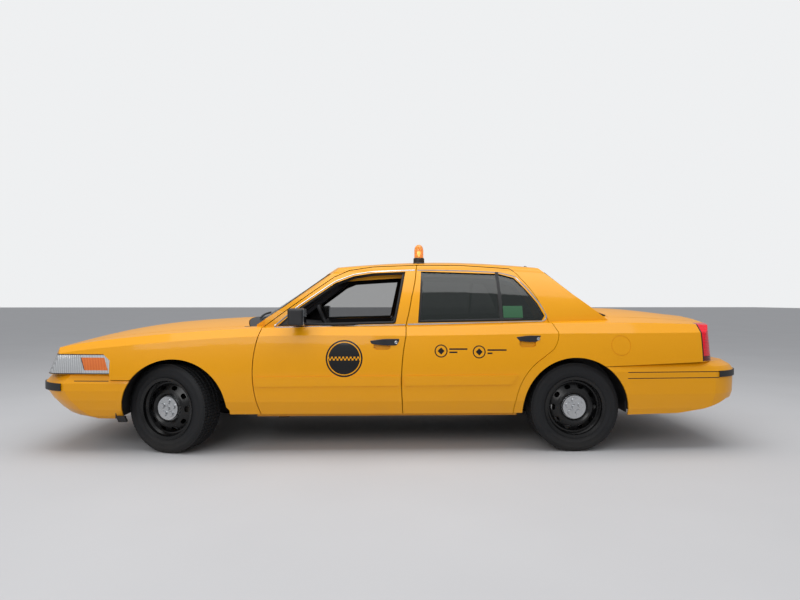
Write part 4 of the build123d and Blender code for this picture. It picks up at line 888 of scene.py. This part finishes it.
tyre = Finish("tyre_rubber", Specular_IOR_Level=0.35)
patches = tyre.place.noise(14.0, 4.0, 0.6)
color, rough = tyre.dust(patches.mix(rgb(17, 18, 20), rgb(30, 31, 34)), patches * 0.2 + 0.6, 0.25,
                         0.16)
tyre.set("Base Color", color)
tyre.set("Roughness", rough)
tyre.set("Normal", tyre.place.noise(700.0, 2.0).bump(0.0003))


def fitted(piece, wheel):
    """A copy of a piece made about the origin, moved to a wheel and turned with it."""
    centre, turn = WHEELS[wheel]
    copied = piece.copy()
    copied.data = piece.data.copy()
    bpy.context.scene.collection.objects.link(copied)
    copied.data.transform(Matrix.Translation(centre) @ Matrix.Rotation(turn, 4, "Z"))
    return copied


outer = [(r, -y) for r, y in TYRE_SECTION]
crown = []
for high, low in TREAD_RIBS[:2]:
    crown += [(TREAD_BASE, -high), (TREAD_BASE, -low), (GROOVE_FLOOR, -low + GROOVE_WALL),
              (GROOVE_FLOOR, -low + GROOVE_WIDTH)]
crown += [(TREAD_BASE, -TREAD_RIBS[2][0]), (TREAD_BASE, TREAD_RIBS[2][0])]
crown += [(r, -y) for r, y in reversed(crown[:-2])]
inner = [(r, -y) for r, y in reversed(outer)]
casing = lathe(outer + crown + inner + BORE, TYRE_STEPS)


def on_a_rib(centre, normal):
    return Vector((centre.x, 0, centre.z)).length > TREAD_BASE - 0.0012 and abs(normal.y) < 0.3


select_faces(casing, on_a_rib)
bpy.ops.mesh.inset(thickness=TREAD_GAP, depth=TREAD_DEPTH, use_individual=True)
bpy.ops.object.mode_set(mode="OBJECT")
for wheel in WHEELS:
    worn = dress(fitted(casing, wheel), f"tyre_tread_{wheel}", tyre.material, f"wheel_{wheel}",
                 28)
    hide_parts(f"tyre_{wheel}")
bpy.data.objects.remove(casing)

# Wheels. Pressed steel in gloss black, bolted to the hubs. A bright five-lobed steel cap is
# pressed on each hub.

CAP_R, CAP_FACE = 0.0925, 0.066
WHEEL_BLACK = rgb(6, 6, 7), rgb(14, 14, 15)
CAP_BRIGHT = rgb(176, 178, 180), rgb(206, 208, 210)

for wheel, ((hub_x, hub_y, hub_z), turn) in WHEELS.items():
    made = Finish(f"wheel_paint_{wheel}", Specular_IOR_Level=0.4)
    x, y, z = made.place.parts()
    across = (x - hub_x) * cos(turn) + (y - hub_y) * sin(turn)
    outward = (x - hub_x) * sin(turn) + (y - hub_y) * -cos(turn)
    away = (across * across + (z - hub_z) * (z - hub_z)).math("SQRT")
    cap = (away < CAP_R) * (outward > CAP_FACE)
    speckle = made.place.noise(9.0, 4.0, 0.6)
    made.set("Base Color", cap.mix(speckle.mix(*WHEEL_BLACK), speckle.mix(*CAP_BRIGHT)))
    made.set("Metallic", cap)
    made.set("Roughness", speckle * 0.1 + 0.22)
    give(made.material, f"wheel_{wheel}")

# Chassis, engine and running gear, in chassis paint, bare castings and aluminised steel, under
# road dirt. The radiator's core is finned.

chassis_paint = surface("chassis_paint", rgb(22, 22, 22), rgb(40, 39, 37), (0.5, 0.75),
                        mottle=7.0, grain=(300.0, 0.0004), dust=0.6)
casting = surface("bare_casting", rgb(72, 70, 68), rgb(104, 100, 96), (0.45, 0.7), mottle=14.0,
                  grain=(500.0, 0.0005), dust=0.5, Metallic=0.8)
aluminised = surface("aluminised_steel", rgb(120, 116, 110), rgb(160, 156, 150), (0.35, 0.55),
                     mottle=12.0, grain=(200.0, 0.0002), dust=0.5, Metallic=1.0)
give(chassis_paint, "chassis_frame", "cross_members", "fuel_tank")
give(casting, "powertrain", "rear_axle", "knuckle_left", "knuckle_right")
give(aluminised, "exhaust")

CARPET, UNDERSEAL = rgb(52, 52, 56), rgb(30, 29, 28)
floor_finish = Finish("floor_carpet")
above = floor_finish.facing.parts()[2] > 0.3
pile = floor_finish.place.noise(1800.0, 2.0)
floor_finish.set("Base Color", (above * (pile * 0.4 + 0.6)).mix(UNDERSEAL, CARPET))
floor_finish.set("Roughness", (pile * 0.2 + 0.75).clamp())
floor_finish.set("Normal", pile.bump(0.001))
give(floor_finish.material, "floor_pan")

FIN_PITCH, TUBE_PITCH = 1800.0, 700.0
core = Finish("radiator_core", Metallic=0.6)
x, y, z = core.place.parts()
fins = (z * FIN_PITCH).math("SINE") * (y * TUBE_PITCH).math("SINE")
core.set("Base Color", (fins * 0.5 + 0.5).mix(rgb(34, 34, 35), rgb(86, 86, 86)))
core.set("Roughness", fins * 0.1 + 0.5)
core.set("Normal", fins.bump(0.001))
give(core.material, "radiator")

# Seats. Grey vinyl over foam on steel bases: two front seats with head restraints, and a rear
# bench. Each pad is swollen by cloth simulation, and its sewn channels are pressed in after.

VOXEL, PRESSURE, PAD_FRAMES = 0.010, 4.0, 20
PAD_CAP, PAD_ROUND = 0.024, 0.018
CLOTH_QUALITY, CLOTH_MASS = 4, 0.3
CHANNEL_DEPTH, CHANNEL_WIDTH = 0.008, 0.008
FRONT_SEAT_Y = 0.39
# Each pad: two corners, the lean of its top, and the places of its sewn channels.
FRONT_PADS = {
    "cushion": ((-0.545, -0.195, 0.508), (-0.085, 0.195, 0.588), 0.03, (-0.33, -0.20)),
    "backrest": ((-0.035, -0.195, 0.600), (0.045, 0.195, 1.020), -0.13, (0.74, 0.88)),
    "restraint": ((0.068, -0.115, 1.055), (0.128, 0.115, 1.215), 0.0, ())}
REAR_PADS = {
    "cushion": ((0.845, -0.635, 0.565), (1.205, 0.635, 0.672), 0.05, (-0.22, 0.22)),
    "backrest": ((1.272, -0.635, 0.690), (1.352, 0.635, 1.035), -0.22, (-0.22, 0.22))}

vinyl = surface("grey_vinyl", rgb(44, 44, 47), rgb(62, 62, 66), (0.45, 0.6), mottle=5.0,
                grain=(600.0, 0.0005))


def swell(pad):
    """Fill a pad: remesh, then cloth under pressure, with each point's way capped."""
    modify(pad, "REMESH", mode="VOXEL", voxel_size=VOXEL)
    modify(pad, "SMOOTH", iterations=4)
    start = [vertex.co.copy() for vertex in pad.data.vertices]
    alone(pad)
    cloth = pad.modifiers.new("cloth", "CLOTH")
    cloth.settings.use_pressure = True
    cloth.settings.uniform_pressure_force = PRESSURE
    cloth.settings.effector_weights.gravity = 0
    cloth.settings.quality = CLOTH_QUALITY
    cloth.settings.mass = CLOTH_MASS
    for frame_number in range(1, PAD_FRAMES + 1):
        bpy.context.scene.frame_set(frame_number)
    bpy.ops.object.modifier_apply(modifier="cloth")
    bpy.context.scene.frame_set(1)
    for vertex, place in zip(pad.data.vertices, start):
        moved = vertex.co - place
        if moved.length > PAD_CAP:
            vertex.co = place + moved.normalized() * PAD_CAP


def press_channels(pad, axis, places):
    """Sewn channels across a pad, pressed in along its normals."""
    for vertex, normal in [(v, v.normal.copy()) for v in pad.data.vertices]:
        for place in places:
            away = (vertex.co[axis] - place) / CHANNEL_WIDTH
            vertex.co -= normal * CHANNEL_DEPTH * exp(-away * away)


def sewn_pad(low, high, lean, channels, axis):
    """A pad between two corners, its top leant back by lean radians."""
    pad = split(start_cube(low, high), 3)
    mid = [(a + b) / 2 for a, b in zip(low, high)]
    half = [(b - a) / 2 for a, b in zip(low, high)]
    for vertex in pad.data.vertices:
        u, v, w = ((vertex.co[i] - mid[i]) / half[i] for i in range(3))
        vertex.co.x = mid[0] + half[0] * u * (1 - 0.06 * v * v * w * w)
        vertex.co.y = mid[1] + half[1] * v * (1 - 0.05 * u * u * w * w)
    modify(pad, "BEVEL", width=PAD_ROUND, segments=3, limit_method="ANGLE")
    swell(pad)
    press_channels(pad, axis, channels)
    modify(pad, "SUBSURF", levels=1, render_levels=1)
    pivot = Vector((mid[0], 0, low[2]))
    pad.data.transform(Matrix.Translation(pivot) @ Matrix.Rotation(-lean, 4, "Y") @
                       Matrix.Translation(-pivot))
    return pad


for part, (low, high, lean, channels) in FRONT_PADS.items():
    pad = sewn_pad(low, high, lean, channels, 0 if part == "cushion" else 2)
    for side, turn in SIDES:
        sewn = pad.copy()
        sewn.data = pad.data.copy()
        bpy.context.scene.collection.objects.link(sewn)
        sewn.data.transform(Matrix.Translation((0, -FRONT_SEAT_Y * turn, 0)))
        dress(sewn, f"front_{part}_{side}", vinyl, "car", 60)
        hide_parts("front_seats")
    bpy.data.objects.remove(pad)
for part, (low, high, lean, channels) in REAR_PADS.items():
    sewn = dress(sewn_pad(low, high, lean, channels, 1), f"rear_{part}", vinyl, "car",
                 60)
    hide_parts("rear_seat")

SEAT_BASE = ((-0.460, -0.560, 0.420), (-0.060, -0.220, 0.512))
BASE_MID_X, BASE_TAPER = -0.26, 0.9
POST_R, POST_Y = 0.006, 0.055
POST_LINE = [(0.090, 0.99), (0.097, 1.03), (0.098, 1.08)]
base = split(start_cube(*SEAT_BASE), 1)
for vertex in base.data.vertices:
    if vertex.co.z < SEAT_BASE[0][2] + 0.01:
        vertex.co.x = BASE_MID_X + (vertex.co.x - BASE_MID_X) * BASE_TAPER
modify(base, "BEVEL", width=0.012, segments=2, limit_method="ANGLE")
both(base, "seat_base_{}", soft_plastic, "car")
for number, y in enumerate((-POST_Y, POST_Y)):
    post = tube([(x, y - FRONT_SEAT_Y, z) for x, z in POST_LINE], POST_R)
    both(post, f"restraint_post_{number + 1}_{{}}", bright_steel, "car")

# Air outlets. Three black plastic frames with four vanes' openings each are pressed into the
# dashboard's face.

VENTS = [(-0.62, 0.10), (0.0, 0.20), (0.62, 0.10)]
VENT_LOW, VENT_TOP = 0.085, 0.035       # below the dashboard's top
VENT_SUNK, VENT_PROUD = 0.006, 0.008
dash_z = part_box("dashboard")[1][2]
for number, (y, width) in enumerate(VENTS):
    mid = Vector((0.5, y, dash_z - (VENT_LOW + VENT_TOP) / 2))
    face_x = car["dashboard"].ray_cast(mid, Vector((-1, 0, 0)))[1].x
    vent = start_cube((face_x - VENT_SUNK, y - width / 2, dash_z - VENT_LOW),
                      (face_x + VENT_PROUD, y + width / 2, dash_z - VENT_TOP))
    select_faces(vent, lambda centre, normal: normal.x > 0.9)
    bpy.ops.mesh.subdivide(number_cuts=1)
    bpy.ops.mesh.inset(thickness=0.004, depth=-0.004, use_individual=True)
    bpy.ops.object.mode_set(mode="OBJECT")
    dress(vent, f"air_outlet_{number + 1}", black_plastic, "car")

# Studio. A pale floor and surroundings, with one large soft lamp overhead and one in front of the
# car's left side. None of it is part of the car.

FLOOR_SIZE = 120.0
FLOOR_TONES = (0.50, 0.50, 0.51, 1), (0.55, 0.55, 0.56, 1)
SKY_TONES, BACKDROP = ((0.36, 0.36, 0.37, 1), (0.95, 0.97, 1.0, 1)), (0.86, 0.87, 0.88, 1)
WORLD_LIGHT, OVERHEAD, SIDE_LAMP = 0.62, 330, 190

bpy.ops.object.select_all(action="DESELECT")
bpy.ops.mesh.primitive_plane_add(size=FLOOR_SIZE, location=(0, 30, 0))
bpy.ops.object.transform_apply(location=True, rotation=True, scale=True)
floor = bpy.context.active_object
floor.name = "floor"
studio = Finish("studio_floor", Roughness=0.9, Specular_IOR_Level=0.1)
studio.set("Base Color", studio.place.noise(0.8, 4.0).mix(*FLOOR_TONES))
floor.data.materials.append(studio.material)

world = bpy.data.worlds.new("studio")
bpy.context.scene.world = world
world.use_nodes = True
world.node_tree.nodes.clear()
sky = Signal(world.node_tree)
height = sky.add("ShaderNodeTexCoord", out=0).parts()[2]
lighting = (height * 1.6 + 0.1).clamp().mix(*SKY_TONES)
rays = sky.add("ShaderNodeLightPath").socket.node.outputs
camera_ray = Signal(world.node_tree, rays["Is Camera Ray"])
shown = camera_ray.mix(lighting, BACKDROP)
strength = camera_ray * (1 - WORLD_LIGHT) + WORLD_LIGHT
glow = sky.add("ShaderNodeBackground", None, {"Color": shown, "Strength": strength})
output = world.node_tree.nodes.new("ShaderNodeOutputWorld")
world.node_tree.links.new(glow.socket, output.inputs["Surface"])


def soft_lamp(name, place, target, size, power):
    """A rectangular lamp at a place, aimed at a target."""
    lamp = bpy.data.lights.new(name, "AREA")
    lamp.shape = "RECTANGLE"
    lamp.size, lamp.size_y = size
    lamp.energy = power
    holder = bpy.data.objects.new(name, lamp)
    bpy.context.scene.collection.objects.link(holder)
    holder.location = place
    aim = Vector(target) - Vector(place)
    holder.rotation_euler = aim.to_track_quat("-Z", "Y").to_euler()


soft_lamp("overhead", (0, -1.0, 6.5), (0, 0, 0), (9.0, 5.0), OVERHEAD)
soft_lamp("side", (-3.0, -8.0, 4.5), (0, 0, 0.6), (6.0, 3.0), SIDE_LAMP)

# Camera. It stands level, where the photograph was taken from, with a 27 mm lens on a frame
# 36 mm wide.

CAMERA_PLACE, CAMERA_TURN = (-0.095, -5.484, 1.159), radians(1.685)
camera_data = bpy.data.cameras.new("camera")
camera_data.lens = 27.0
camera_data.sensor_width = 36.0
camera = bpy.data.objects.new("camera", camera_data)
camera.location = CAMERA_PLACE
camera.rotation_euler = (radians(90), 0, -CAMERA_TURN)
bpy.context.scene.collection.objects.link(camera)
bpy.context.scene.camera = camera
bpy.context.scene.view_settings.view_transform = "Standard"
